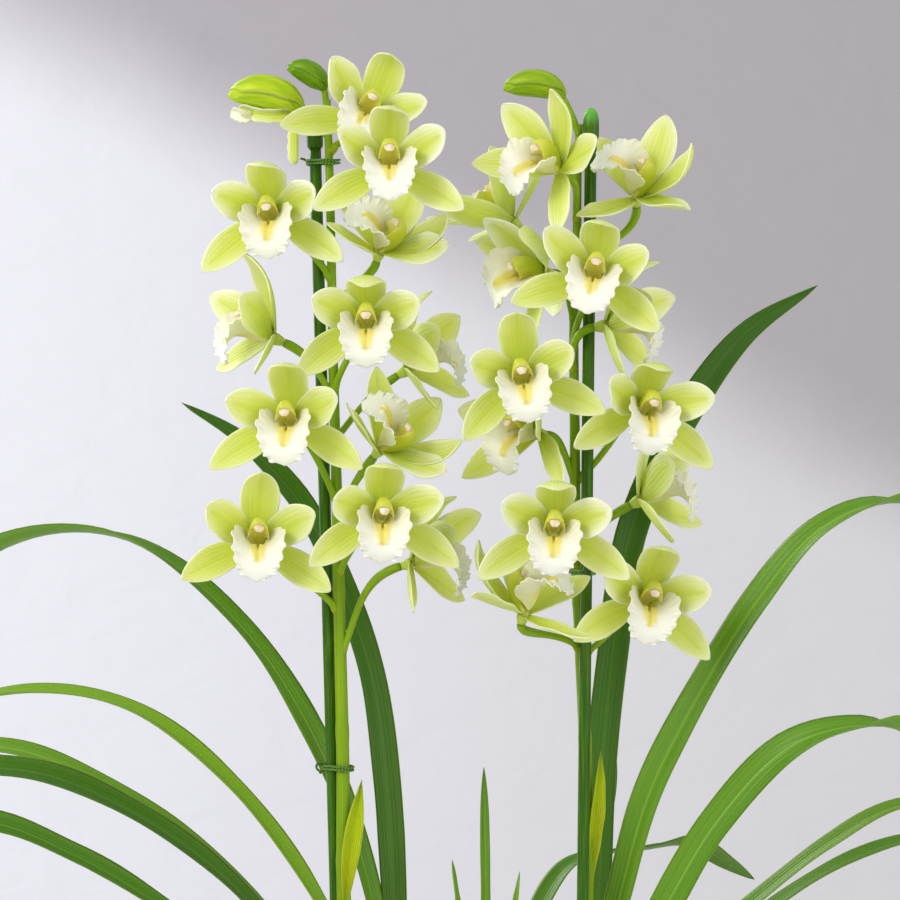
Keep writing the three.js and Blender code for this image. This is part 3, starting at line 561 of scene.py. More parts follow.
SEPAL_TOP = dict(
    angle=0, sweep=0, length=44, width=20, lift=24, bend=80, twist=0, cup=0.2, root=0.26, seat=0,
    tip=(2.2, 0.62), ripple=0.5, pale=0.3,
)
PETAL = dict(
    angle=63, sweep=14, length=40, width=19.5, lift=40, bend=26, twist=6, cup=0.1, root=0.24, seat=1.7,
    tip=(2.0, 0.74), ripple=1.0, pale=1,
)
SEPAL_SIDE = dict(
    angle=114, sweep=20, length=43, width=16.5, lift=14, bend=14, twist=-14, cup=0.14, root=0.28, seat=0,
    tip=(1.8, 0.78), ripple=0.5, pale=0.15,
)
TEPAL_START = 1.6
TEPAL_BELLY = 0.56
TEPAL_REACH = 1.035  # a rounded tip goes a little past the solid's square one
TEPAL_THICKNESS = 0.75
TEPAL_STEPS, TEPAL_ROWS, TEPAL_COLUMNS = 97, 27, 15
TEPAL_TURN_BACK = 1.2  # how far its margins turn back near the tip
TEPAL_GROOVE = 0.35  # depth of the groove along its middle
NARROWEST = 0.012  # of the half-width, at the very tip
# How far one flower's petals differ from another's.
OWN_ANGLE, OWN_LENGTH, OWN_BEND, OWN_TWIST = 4, 0.04, 8, 8


def personal(form, flower, part):
    """The form as this flower has it. angle and sweep set the way it points, round from the top sepal's,
    lift and bend how far it leans forward, root and tip its outline, and seat where it starts."""
    return {
        **form,
        "angle": form["angle"] + OWN_ANGLE * vary(flower, part),
        "length": form["length"] * (1 + OWN_LENGTH * vary(flower, part + 10)),
        "bend": form["bend"] + OWN_BEND * vary(flower, part + 20),
        "twist": form["twist"] + OWN_TWIST * vary(flower, part + 30),
    }


def tepal(shape, form, mirror, flower, part, place):
    side = -1 if mirror else 1
    fine = np.linspace(0, 1, TEPAL_STEPS)
    angle = np.radians(side * (form["angle"] + form["sweep"] * fine))
    rise = np.radians(form["lift"] + form["bend"] * fine**2)
    zero = np.zeros_like(fine)
    outward = np.stack([np.sin(angle), zero, np.cos(angle)], 1)
    across = np.stack([np.cos(angle), zero, -np.sin(angle)], 1)
    forward = np.array([0, -1.0, 0])
    way = outward * np.cos(rise)[:, None] + forward * np.sin(rise)[:, None]
    normal = forward * np.cos(rise)[:, None] - outward * np.sin(rise)[:, None]
    turn = np.radians(side * form["twist"] * fine)[:, None]
    width = across * np.cos(turn) + normal * np.sin(turn)
    face = normal * np.cos(turn) - across * np.sin(turn)
    start = TEPAL_START * outward[0] + forward * form["seat"]
    step = form["length"] * TEPAL_REACH / (TEPAL_STEPS - 1)
    centre = start + np.vstack([[0, 0, 0], np.cumsum((way[1:] + way[:-1]) / 2 * step, axis=0)])

    along = np.sin(np.linspace(0, np.pi / 2, TEPAL_ROWS)) ** 1.1  # closer together near the tip
    centre, width, face = (read_at(along, fine, rows) for rows in (centre, width, face))
    past = np.clip((along - TEPAL_BELLY) / (1 - TEPAL_BELLY), 0, 1)
    n, m = form["tip"]
    outline = np.where(
        along < TEPAL_BELLY,
        form["root"] + (1 - form["root"]) * np.sin(np.pi / 2 * np.minimum(1, along / TEPAL_BELLY)),
        np.maximum(0, 1 - past**n) ** m,
    )
    half = form["width"] / 2 * np.maximum(outline, NARROWEST)
    s = np.sin(np.linspace(-np.pi / 2, np.pi / 2, TEPAL_COLUMNS))
    t, cross = np.meshgrid(along, s, indexing="ij")
    phase = TURN * vary(flower, part + 50)
    wave = np.sin(TURN * (1.6 + 0.5 * vary(flower, part + 60)) * t + phase + 1.4 * np.sign(cross))
    lift = form["cup"] * half[:, None] * cross**2 * 2
    narrow = (half / half.max())[:, None]
    lift = lift + form["ripple"] * np.abs(cross) ** 3 * smooth(t, 0.1, 0.6) * wave * narrow
    lift = lift - TEPAL_TURN_BACK * smooth(t, 0.55, 0.9) * cross**2 * narrow
    lift = lift - TEPAL_GROOVE * hump(cross, 0, 0.13) * (1 - t) * (half[:, None] / 9)
    grid = grid_along(centre, width, face, cross * half[:, None], lift)
    blade(
        shape, place(grid), TEPAL_THICKNESS, 0,
        along=t, cross=cross, edge=np.maximum(np.abs(cross), smooth(t, 0.8, 1.0)), tone=vary(flower, 99),
        pale=form["pale"],
    )


# Rows of the column from its foot to its tip: forward, up, half-width, height of its back over that
# line, depth of its belly under it and how far its wings hang down at the sides.
COLUMN = [
    (1.2, 0.4, 3.0, 2.4, 2.6, 0), (4, 2.6, 3.4, 2.6, 2.4, 0.8), (8, 5.2, 4.0, 2.9, 1.6, 3.4),
    (12.5, 7.2, 4.7, 3.0, 0.7, 6.6), (16.5, 7.8, 5.3, 3.0, 0.4, 8.4), (19.4, 7.2, 5.4, 2.8, 0.5, 7.4),
    (21.3, 6.2, 4.8, 2.0, 0.7, 4.2), (22.0, 5.2, 3.0, 1.0, 0.5, 1.0),
]
COLUMN_ROWS, COLUMN_SIDES = 26, 28
# The anther cap and the bead on each side under it: a middle and the ends of three half-axes.
CAP = [(0, -21.9, 4.6), (2.6, -21.9, 4.6), (0, -23.7, 4.0), (0, -21.4, 6.9)]
BEAD = [(0, -22.8, 3.3), (1, -22.8, 3.3), (0, -23.6, 3.1), (0, -22.7, 4.4)]
BEAD_APART = 0.8


def column(shape, place):
    rows = rows_between(COLUMN, COLUMN_ROWS)
    forward, up, half, back, belly, wing = (v[:, None] for v in rows.T)
    lean = np.arctan2(np.gradient(up, axis=0), np.gradient(forward, axis=0))
    turn = circle(COLUMN_SIDES)[None]
    under = np.clip(-np.sin(turn), 0, 1)
    lift = back * np.clip(np.sin(turn), 0, 1) - belly * under - wing * np.abs(np.cos(turn)) ** 3.4
    rings = np.stack([half * np.cos(turn), -(forward - lift * np.sin(lean)), up + lift * np.cos(lean)], -1)
    along = np.repeat(np.linspace(0, 1, COLUMN_ROWS), COLUMN_SIDES)
    inside = np.r_[np.tile(smooth(under[0], 0.0, 0.35), COLUMN_ROWS), 0, 0]
    close_off(shape, place(rings), 1, along=along, around=np.tile(turn[0] / TURN, COLUMN_ROWS), under=inside)
    for ends, aside, rows, sides in ((CAP, 0, 10, 14), (BEAD, -BEAD_APART, 8, 10), (BEAD, BEAD_APART, 8, 10)):
        ends = place(np.array(ends) + np.array([aside, 0, 0]))
        egg(shape, ends[0], ends[1:] - ends[0], 2, rows=rows, sides=sides)


# Rows of the lip from its hinge to its tip: forward, up, half-width and how far its edges stand up.
LIP = [
    (3.8, -2.6, 2.6, 0.3), (8.4, -4.1, 5.6, 7.6), (12.6, -4.8, 8.2, 11.0), (16.4, -5.4, 11.2, 11.6),
    (19.4, -6.6, 12.9, 9.6), (21.3, -9.0, 12.6, 6.0), (22.3, -12.4, 11.4, 2.8), (22.2, -16, 9.8, 1.0),
    (20.8, -19.2, 7.6, -0.4), (18.8, -21.8, 4.6, -1.2),
]
LIP_ROWS, LIP_COLUMNS = 76, 33
LIP_THICKNESS = 0.6
FRILL, FRILL_WAVES = 0.8, (7.3, 17.7, 9.3)  # height, and waves along the lip
CALLUS_END = 0.68  # of the lip's length, where the yellow ridges stop
RIDGE_APART, HORN_APART = 1.9, 2.3  # from the middle


def lip(shape, flower, place, lobes):
    forward, up, half, rise = rows_between(LIP, LIP_ROWS).T
    u = np.linspace(0, 1, LIP_ROWS)
    half = half * np.sqrt(np.maximum(1 - smooth(u, 0.86, 1.0) ** 2, 0.004))
    ahead = unit(np.stack([np.gradient(forward), np.gradient(up)], 1))
    s = np.sin(np.linspace(np.pi / 2, -np.pi / 2, LIP_COLUMNS))
    t, cross = np.meshgrid(u, s, indexing="ij")
    side = np.sign(cross)
    frill = smooth(np.abs(cross), 0.62, 1.0) * smooth(t, 0.26, 0.45)
    phase = TURN * vary(flower, 71)
    coarse, fine, wavy = (TURN * waves * t for waves in FRILL_WAVES)
    wave = np.sin(coarse + phase + 1.1 * side) + 0.7 * np.sin(fine + 2.3 * side + 2 * phase)
    height = lobes * rise[:, None] * np.abs(cross) ** 1.7 + FRILL * frill * wave
    wide = half[:, None] * cross * (1 + 0.05 * frill * np.cos(wavy + phase + side))
    out, over = forward[:, None] - height * ahead[:, 1:], up[:, None] + height * ahead[:, :1]
    grid = np.stack([wide, -out, over], -1)
    x = np.abs(wide)
    horn = hump(x, HORN_APART, 1.3) * hump(t, 0.3, 0.07)
    ridge = hump(x, RIDGE_APART, 1.15) * smooth(t, 0.1, 0.25) * (1 - smooth(t, CALLUS_END - 0.05, CALLUS_END))
    relief = ridge * (1.0 + 0.9 * hump(t, CALLUS_END - 0.06, 0.09)) + 1.3 * horn
    tongue = CALLUS_END - 0.06 * smooth(x, 0.4, 2.6)
    yellow = np.exp(-((x / (5.6 - 3.6 * t)) ** 4)) * smooth(t, 0.06, 0.2)
    yellow = yellow * (1 - smooth(t, tongue - 0.03, tongue + 0.05))
    blade(
        shape, place(grid), LIP_THICKNESS, 0, relief=relief,
        along=t, cross=cross, edge=np.abs(cross), tone=vary(flower, 98), ridge=yellow,
    )


def flower(at, face, up, root, **more):
    """Where a flower sits, the ways its face and its top sepal point, and the height at which its stalk
    leaves the stem. hood is the bend of its top sepal, lobes how far the sides of its lip stand up for
    their usual height, leave and arrive how its stalk sets out and comes in, and own holds what differs
    in its petals and side sepals."""
    return dict(at=at, face=face, up=up, root=root, **more)


# Both lists run from the lowest flower to the highest.
FLOWERS_LEFT = [
    flower((-24, -14, 408.5), (0.93, -0.2, 0.25), (-0.25, 0, 0.97), 362,
         own=dict(right=dict(angle=48, lift=46, bend=34, length=42), low_left=dict(lift=1, bend=10))),
    flower((-100, -24, 418), (0.08, -0.97, 0.2), (0.05, 0, 1), 384, hood=62),
    flower((-38.5, -44, 432), (0.09, -1, -0.03), (0.05, 0, 1), 403, hood=100),
    flower((-39.5, -20, 465), (0.5, -0.62, 0.61), (0.83, 0.12, -0.56), 430, lobes=0.7,
         own=dict(right=dict(angle=18, lift=29, twist=-34), left=dict(lift=21),
                  low_right=dict(angle=140, lift=36))),
    flower((-82.5, -39, 478), (-0.12, -0.98, 0.05), (0, 0, 1), 438, hood=92),
    flower((-26.5, 9, 505), (0.82, -0.25, 0.5), (-0.5, 0, 0.85), 470, leave=(6, 13, 8)),
    flower((-45.5, -37, 526.5), (0, -1, 0), (0, 0, 1), 495, hood=130),
    flower((-92, -8, 520.5), (-0.88, -0.3, 0.37), (0.36, 0.05, 0.93), 490, hood=62),
    flower((-92.5, -14, 580.5), (-0.11, -0.99, 0), (-0.04, 0, 1), 550, hood=98),
    flower((-40, -4, 563.5), (0.2, -0.7, 0.69), (0.94, 0.1, -0.17), 535, lobes=0.7,
         own=dict(right=dict(angle=18, lift=29, twist=-34), left=dict(lift=33),
                  low_right=dict(angle=140, lift=38))),
    flower((-34.5, -46, 602), (0.03, -0.96, 0.25), (0, 0, 1), 590, hood=112),
    flower((-47, -10, 628), (0.12, -0.93, 0.35), (0.42, 0.2, 0.9), 614, hood=110),
]
FLOWERS_RIGHT = [
    flower((91, -19, 389.5), (0.2, -0.97, 0.05), (0.2, 0, 1), 362, leave=(12, 1, 6), hood=100),
    flower((31.5, -38, 384), (0.2, -0.4, 0.89), (-0.96, 0.08, 0.26), 365, arrive=0.14,
         own=dict(left=dict(angle=46, lift=18, twist=30), low_left=dict(angle=134, lift=8))),
    flower((46, -52, 425.5), (0, -1, 0), (0.05, 0, 1), 409, hood=115),
    flower((90.5, 8, 439.5), (0.86, -0.25, 0.44), (-0.45, 0, 0.89), 412),
    flower((89.5, -28, 484), (0.25, -0.97, 0), (0.12, 0, 1), 450, hood=112, leave=(14, 2, 8)),
    flower((39.5, -8, 473), (-0.7, -0.68, 0.05), (0.1, 0, 1), 448, hood=100),
    flower((31, -40, 499), (0, -1, 0.03), (-0.17, 0, 1), 486, hood=74),
    flower((72, -14, 526.5), (0.95, -0.25, 0.12), (-0.12, 0, 0.99), 505, leave=(-2, -8, 8)),
    flower((65.5, -46, 547.5), (0, -0.97, 0.22), (0.2, 0.22, 0.95), 515, leave=(-2, -10, 12), hood=115),
    flower((42, -5, 553.5), (-0.82, -0.57, 0), (0.45, -0.65, 0.6), 530, own=dict(right=dict(lift=10))),
    flower((27.5, 22, 580), (-0.7, 0.05, 0.7), (-0.35, -0.85, -0.35), 548),
    flower((88, -10, 590.5), (-0.08, -0.6, 0.79), (0.97, -0.16, -0.02), 562, leave=(13, 4, 4),
         own=dict(right=dict(angle=44, lift=9, twist=30), left=dict(lift=31))),
    flower((49, -28, 603), (-0.65, -0.7, 0.3), (0.44, -0.26, 0.86), 580, hood=58,
         own=dict(right=dict(angle=46, lift=15))),
]
RECEPTACLE_BACK, RECEPTACLE_FRONT = 5, 2.6


def facing(flower):
    """The flower's place and its own axes, as they lie in the plant."""
    forward = unit(np.array(flower["face"], float))
    right = unit(np.cross(np.array(flower["up"], float), forward))
    top = np.cross(forward, right)
    return np.array(flower["at"], float), right, forward, top


def placer(flower):
    at, right, forward, top = facing(flower)
    return lambda p: at + p[..., :1] * right - p[..., 1:2] * forward + p[..., 2:] * top


def receptacle(shape, place):
    """The short neck that the tepals, lip and column grow from."""
    path = place(np.array([[0, y, 0] for y in np.linspace(RECEPTACLE_BACK - 0.4, -RECEPTACLE_FRONT, 7)], float))
    tube(shape, path, [2.2, 2.5, 2.9, 3.2, 3.2, 2.8, 1.6], 14, 0, tone=0.2)


TEPALS = [
    ("top", SEPAL_TOP), ("right", PETAL), ("left", PETAL), ("low_right", SEPAL_SIDE), ("low_left", SEPAL_SIDE),
]


def flower_pieces(side, flowers, seed, fused):
    """fused names the flowers whose lip is in the same solid as the rest."""
    for i, flower in enumerate(flowers):
        label, number, place = f"{side}_{i + 1:02d}", seed + i, placer(flower)
        bloom = Shape()
        receptacle(bloom, place)
        own = {"top": {"bend": flower.get("hood", SEPAL_TOP["bend"])}, **flower.get("own", {})}
        for part, (key, form) in enumerate(TEPALS, 1):
            form = personal({**form, **own.get(key, {})}, number, part)
            tepal(bloom, form, key.endswith("left"), number, part, place)
        column(bloom, place)
        bloom.build(f"tepals_{label}", [f"bloom_{label}"], [TEPAL, COLUMN_SKIN, ANTHER])
        front = Shape()
        lip(front, number, place, flower.get("lobes", 1))
        front.build(f"labellum_{label}", [] if label in fused else [f"lip_{label}"], [LIP_SKIN])


flower_pieces("left", FLOWERS_LEFT, 1, [])
flower_pieces("right", FLOWERS_RIGHT, 31, ["right_08", "right_11"])

# ---- Spikes ----

SPIKE_LEFT = [
    (-50, -1, 96), (-53.5, -2, 160), (-57.5, -2, 240), (-58, -2, 306), (-59.3, -2, 365), (-61, -2, 440),
    (-63, -2, 515), (-64, -2, 575), (-65, -2, 614), (-66, -2, 640),
]
SPIKE_RIGHT = [
    (57, 6, 96), (60, 6, 160), (64, 6, 240), (63.5, 6, 310), (61, 5.5, 365), (58.5, 4, 420), (58, 3, 470),
    (57.5, 2, 530), (59, 1.5, 575), (59.5, 1.5, 612), (60, 1.5, 628),
]
STEM_FOOT, STEM_TOP = 4.2, 1.9


def at_height(path, height):
    path = np.array(path, float)
    return read_at(height, path[:, 2], path)


def bract_width(along):
    return np.sin(np.pi * np.minimum(0.999, 0.32 + 0.68 * along)) ** 0.8


def blunt_width(along):
    return np.minimum(0.5 + along * 2, 1) * np.sqrt(np.maximum(0, 1 - np.clip((along - 0.7) / 0.3, 0, 1) ** 3))


def sheath_width(along):
    """A bract that stays wrapped round the stem below and is widest halfway up."""
    return np.maximum(np.sin(np.pi * along**1.3), 0.5 * (1 - along))


def leaf_width(along):
    root = 0.55 + 0.45 * np.minimum(1, along / 0.3)
    point = np.maximum(0, 1 - np.clip((along - 0.76) / 0.24, 0, 1) ** 1.9) ** 0.75
    return root * point


def strap(
    shape, points, width, facing, twist=(0, 0), keel=0.16, profile=leaf_width, look=0, tone=0.0,
    thickness=0.9, rows=64, pale=0.0,
):
    """A long blade along given points. Its width lies level at first, at the angle facing from X, and
    turns by the angles of twist on its way. keel is how deep it folds along its middle."""
    path = curve_through(points, rows)
    tangent = unit(np.gradient(path, axis=0))
    level = np.array([math.cos(math.radians(facing)), math.sin(math.radians(facing)), 0])
    across = unit(level - tangent * (tangent @ level)[:, None])
    along = np.linspace(0, 1, rows)
    turn = np.radians(np.interp(along, np.linspace(0, 1, len(twist)), twist))[:, None]
    across = across * np.cos(turn) + np.cross(tangent, across) * np.sin(turn)
    upper = np.cross(across, tangent)
    half = width / 2 * np.maximum(profile(along), 0.015)
    t, cross = np.meshgrid(along, np.linspace(-1, 1, 11), indexing="ij")
    fold = keel * half[:, None] * (2 * np.abs(cross) ** 1.5 - 1)
    ripple = 0.35 * np.abs(cross) ** 3 * np.sin(t * 31 + tone * 9 + 1.7 * np.sign(cross))
    fold = fold + ripple * (half / half.max())[:, None]
    grid = grid_along(path, across, upper, cross * half[:, None], fold)
    blade(shape, grid, thickness, look, along=t, cross=cross, edge=np.abs(cross), tone=tone, pale=pale)


STALK_ROWS, STALK_SIDES = 26, 12
UP = np.array([0, 0, 1.0])


def stalk(shape, path, flower, number):
    """A flower's stalk, with the small bract that it grows out of."""
    root = at_height(path, flower["root"])
    at, _, forward, _ = facing(flower)
    end = at - forward * (RECEPTACLE_BACK + 0.3)
    reach = np.linalg.norm(end - root)
    straight = (end - root) * 0.3 + UP * 0.12 * reach
    leave = root + np.array(flower.get("leave", straight), float)
    arrive = end - forward * flower.get("arrive", 0.4) * reach
    way = evenly(bezier([root, leave, arrive, end], 60), STALK_ROWS)
    along = np.linspace(0, 1, STALK_ROWS)
    radii = 1.7 + 0.6 * smooth(along, 0.45, 0.9) - 0.3 * smooth(along, 0.93, 1.0)
    radii = radii + 0.7 * (1 - smooth(along, 0, 0.14))
    ribs = lambda a, turn: 1 + 0.05 * np.cos(6 * turn) * smooth(a, 0.4, 0.8)
    tube(shape, way, radii, STALK_SIDES, 0, bulge=ribs, pale=0.35 + 0.3 * smooth(along, 0.3, 1.0).mean())
    out = unit(way[3] - root)
    tip = root + out * 8.5 + UP
    side = math.degrees(math.atan2(out[1], out[0])) + 90
    strap(
        shape, [root - out * 0.5 - UP * 2.2, (root + tip) / 2 - UP * 2.4, tip - UP * 1.2],
        4.6, side, keel=-0.5, profile=bract_width, look=2, tone=vary(number, 7), thickness=0.5, rows=12,
    )


def sheath(shape, path, radii, turns, look, flare, **marks):
    """A sepal that lies round a bud: turns are the angles of its two edges, 0 on top and 90 in front."""
    tangent = unit(np.gradient(path, axis=0))
    top = unit(UP - tangent * tangent[:, 2:])
    front = np.cross(top, tangent)
    front = front * np.where(front[:, 1:2] > 0, -1, 1)
    along = np.linspace(0, 1, len(path))
    t, cross = np.meshgrid(along, np.linspace(-1, 1, 13), indexing="ij")
    middle, spread = np.radians((turns[0] + turns[1]) / 2), np.radians((turns[1] - turns[0]) / 2)
    narrow = (1 - smooth(along, 0.8, 1.0) * 0.96) * (0.55 + 0.45 * smooth(along, 0, 0.3))
    angle = middle + spread * cross * narrow[:, None]
    far = radii[:, None] + flare * np.abs(cross) ** 3 * np.sin(np.pi * t)
    grid = grid_along(path, top, front, far * np.cos(angle), far * np.sin(angle))
    blade(shape, grid, 0.6, look, along=t, cross=cross, around=cross * 0.3, edge=np.abs(cross), **marks)


POD_ROWS = 40
POD_OUTLINE = ([0, 0.1, 0.25, 0.45, 0.68, 0.86, 0.95, 1.0], [0.3, 0.62, 0.9, 1.0, 0.92, 0.62, 0.36, 0.08])


def pod(shape, root, base, tip, belly, radius, ripe):
    """An unopened bud on its own stalk: sepals folded round what is inside."""
    body = evenly(bezier([base, belly, tip], 60), POD_ROWS)
    radii = radius * np.interp(np.linspace(0, 1, POD_ROWS), *POD_OUTLINE)
    for _ in range(3):
        radii[1:-1] = (radii[:-2] + 2 * radii[1:-1] + radii[2:]) / 4
    tube(shape, body, radii * 0.93, 36, 1, ripe=ripe, edge=0)
    sheath(shape, body, radii, (-75, 98), 1, flare=0.5, ripe=ripe)
    for edges in ((84, 176), (-170, -66)):
        sheath(shape, body, radii * 0.965, edges, 1, flare=0.3, ripe=ripe * 0.9)
    middle = (np.array(root, float) + np.array(base, float)) / 2 + UP * 4
    tube(shape, bezier([root, middle, body[2]], 20), 1.7, 14, 0, pale=0.1)


# The blades that show at the bud that opens, from where its stalk meets it.
OPENING = [
    dict(points=[(-1, -3, -0.5), (-11, -5.5, -1.5), (-21, -5, -1), (-31, -4, 2.5)], width=7.5, facing=90,
         twist=(70, 64), keel=-0.3, look=3, tone=0.8, thickness=0.7, rows=30, pale=1),
    dict(points=[(-24, -4, -2), (-29, -5, -1.5), (-34.5, -4.5, 1)], width=7, facing=90,
         twist=(74, 58), keel=-0.4, look=4, tone=0.2, thickness=0.6, rows=20),
    dict(points=[(0, 0, -2), (-2.2, -3.5, -8), (-2.9, -4, -17), (-2.6, -3, -26)], width=7.2, facing=56,
         keel=0.5, look=3, tone=0.2, thickness=0.7, rows=26, pale=0.4),
]


def opening(shape, bud):
    """What shows of the bud that is about to open: a petal and the lip under it, and its loose sepal."""
    for blade_now in OPENING:
        points = np.array(bud["base"], float) + np.array(blade_now["points"], float)
        strap(shape, **{**blade_now, "points": points}, profile=blunt_width)


BUDS_LEFT = [
    dict(root=(-66, -2, 630), base=(-67, -2, 645), belly=(-74, -4, 657), tip=(-86, -4, 655),
         radius=6, ripe=0),
    dict(root=(-66, -2, 622), base=(-79, -6, 633), belly=(-92, -8, 648), tip=(-115, -8, 641),
         radius=9.2, ripe=1),
]
BUDS_RIGHT = [
    dict(root=(60, 1, 622), base=(52, 0, 641), belly=(42, -2, 653), tip=(22, -2, 645),
         radius=7, ripe=0.45),
]
BRACTS_LEFT = [
    dict(points=[(-58, -5, 226), (-54.5, -6, 262), (-48.5, -5, 300.5)], width=9.5, facing=10, tone=-0.4),
]
BRACTS_RIGHT = [
    dict(points=[(63, 4, 230), (66.5, 3.5, 262), (70, 2.5, 294), (71, 1.5, 315)], width=8, facing=25, tone=0.6),
]
STEM_ROWS, STEM_SIDES = 150, 20
STEM_JOINTS = (0.16, 0.3, 0.42, 0.55)  # of the stem's length


def spike(name, path, flowers, buds, bracts):
    shape = Shape()
    along = np.linspace(0, 1, STEM_ROWS)
    joints = sum(0.1 * hump(along, at, 0.006) for at in STEM_JOINTS)
    radii = (STEM_FOOT + (STEM_TOP - STEM_FOOT) * along) * (1 + joints)
    tube(shape, curve_through(path, STEM_ROWS), radii, STEM_SIDES, 0, pale=0.1)
    for i, flower in enumerate(flowers):
        stalk(shape, path, flower, i)
    for bud in buds:
        pod(shape, **bud)
        if bud["ripe"] == 1:
            opening(shape, bud)
    for bract in bracts:
        strap(shape, **bract, keel=0.35, profile=sheath_width, look=2, thickness=0.8, rows=40)
    shape.build(f"stems_{name[6:]}", [name], [STEM_SKIN, BUD_SKIN, BRACT_SKIN, TEPAL, LIP_SKIN])


spike("spike_left", SPIKE_LEFT, FLOWERS_LEFT, BUDS_LEFT, BRACTS_LEFT)
spike("spike_right", SPIKE_RIGHT, FLOWERS_RIGHT, BUDS_RIGHT, BRACTS_RIGHT)

# ---- Leaves and pseudobulbs ----

# The pseudobulbs' half-width and height, as shares.
BULB_PROFILE = [(0.7, 0), (0.97, 0.22), (1, 0.42), (0.8, 0.7), (0.4, 1)]
BULB_ROWS, BULB_SIDES = 24, 40
BULB_LEFT = dict(at=(-34, 12, 132), radius=16, flat=0.8, height=48)
BULB_RIGHT = dict(at=(57, 27, 132), radius=15, flat=0.85, height=48)
BULB_YOUNG = dict(at=(14, 14, 134), radius=11, flat=0.85, height=34)


def leaf(width, facing, points, **more):
    return dict(width=width, facing=facing, points=points, **more)


LEAVES_LEFT = [
    leaf(15, 60, [(-33, 14, 160), (-43.5, 18, 240), (-67, 18, 309), (-109.5, 15, 377), (-169.5, 10, 422),
        (-230, 2, 418), (-285, -8, 368)], twist=(0, -14, -20, -4, 20, 40)),
    leaf(15, 80, [(-36, 2, 158), (-52, -18, 200), (-68, -26, 240), (-110, -34, 299), (-160, -42, 338.5),
        (-210, -52, 348), (-290, -66, 330)], twist=(0, -12, -17, -11, -11), tone=0.9),
    leaf(16, 80, [(-38, 10, 160), (-72, 22, 196), (-116, 20, 248), (-166, 10, 285), (-215, 0, 305),
        (-265, -10, 303), (-318, -16, 268)], twist=(0, -55), tone=-0.7),
    leaf(14, 80, [(-38, 18, 158), (-75, 42, 200), (-125, 48, 256), (-185, 52, 296), (-235, 58, 313),
        (-285, 64, 306), (-325, 68, 280)], twist=(0, -40)),
    leaf(15, 90, [(-36, 2, 154), (-58, -26, 172), (-80, -38, 190), (-130, -52, 232), (-185, -64, 268),
        (-235, -74, 286), (-300, -84, 262)], twist=(0, -50)),
    leaf(15, 10, [(-30, 14, 160), (-33, 24, 240), (-37, 28, 300), (-44, 30, 350), (-57, 32, 390),
        (-80, 32, 438), (-110, 30, 470), (-140.5, 28, 489)], twist=(0, 34), tone=-0.75),
]
LEAVES_RIGHT = [
    leaf(16, -8, [(58, 32, 160), (70.5, 32, 240), (72, 32, 300), (78, 33, 360), (88, 34, 425), (113, 34, 480),
        (145, 34, 524), (182, 32, 548.5)], twist=(-24, 30), tone=-0.9),
    leaf(17.5, -30, [(62, 24, 160), (80.5, 14, 240), (94, 8, 290), (110, 3, 325), (148.5, -4, 390),
        (182, -8, 428), (222, -12, 440.5), (295, -20, 412)], twist=(0, -20)),
    leaf(17, -30, [(64, 20, 158), (80, 2, 196), (103, -16, 240), (126, -26, 280), (160, -38, 318),
        (190, -44, 330), (225, -52, 328), (296, -62, 276)], twist=(0, 5, 6, -6, -10)),
    leaf(14, -70, [(66, 26, 156), (100, 16, 196), (150, 10, 240), (185, 4, 268), (222, 0, 288), (268, -4, 286),
        (312, -8, 258)], twist=(0, 20)),
    leaf(13, -70, [(66, 30, 154), (108, 34, 190), (168, 34, 240), (205, 36, 260), (240, 40, 268),
        (280, 44, 258), (318, 46, 232)], twist=(0, 20)),
    leaf(10, 20, [(54, 36, 158), (62, 44, 210), (70, 48, 260), (80.5, 50, 307.5)]),
]
LEAVES_YOUNG = [
    leaf(5, 10, [(14, 14, 158), (13.5, 12, 230), (12.5, 10, 306)], tone=0.4),
    leaf(5, 62, [(13, 13, 158), (3, 8, 215), (-3.5, 4, 260)], tone=0.9),
    leaf(5, -62, [(15, 13, 158), (25, 8, 215), (30.5, 6, 254)], tone=0.9),
    leaf(13, -20, [(16, 16, 158), (34, 42, 216), (58, 62, 253), (95, 68, 260), (120, 70, 262), (140, 72, 251),
        (153, 74, 243)], twist=(0, -30)),
]


def shoot(name, bulb, leaves, seed):
    shape = Shape()
    turn = circle(BULB_SIDES)
    share, up = rows_between(BULB_PROFILE, BULB_ROWS).T
    ribs = 1 + 0.025 * np.cos(11 * turn) + 0.012 * np.cos(23 * turn)
    radius = bulb["radius"] * share[:, None] * ribs[None, :]
    x, y, z = bulb["at"]
    level = z + (up * bulb["height"])[:, None] + 0 * radius
    rings = np.stack([x + radius * np.cos(turn), y + radius * bulb["flat"] * np.sin(turn), level], -1)
    along = np.repeat(np.linspace(0, 1, BULB_ROWS), BULB_SIDES)
    close_off(shape, rings, 1, along=along, around=np.tile(turn / TURN, BULB_ROWS))
    for i, leaf in enumerate(leaves):
        strap(shape, **{"tone": 0.6 * vary(seed, i), **leaf})
    shape.build(f"leaves_{name[6:]}", [name], [LEAF_SKIN, BULB_SKIN])


shoot("shoot_left", BULB_LEFT, LEAVES_LEFT, 3)
shoot("shoot_right", BULB_RIGHT, LEAVES_RIGHT, 5)
shoot("shoot_young", BULB_YOUNG, LEAVES_YOUNG, 9)

# ---- Stakes and ties ----

STAKE_RADIUS, STAKE_FOOT, CAP_RADIUS, CAP_HEIGHT = 3, 24, 4.1, 16
STAKE_LEFT = dict(top=(-72.5, 3.6, 632), bottom=(-55.8, 3.6))
STAKE_RIGHT = dict(top=(66, -2.4, 636), bottom=(59.5, -2.4))
STAKE_SIDES, STAKE_ROWS = 28, 60
KNUCKLES = (90, 96)  # height of the first, and from each to the next
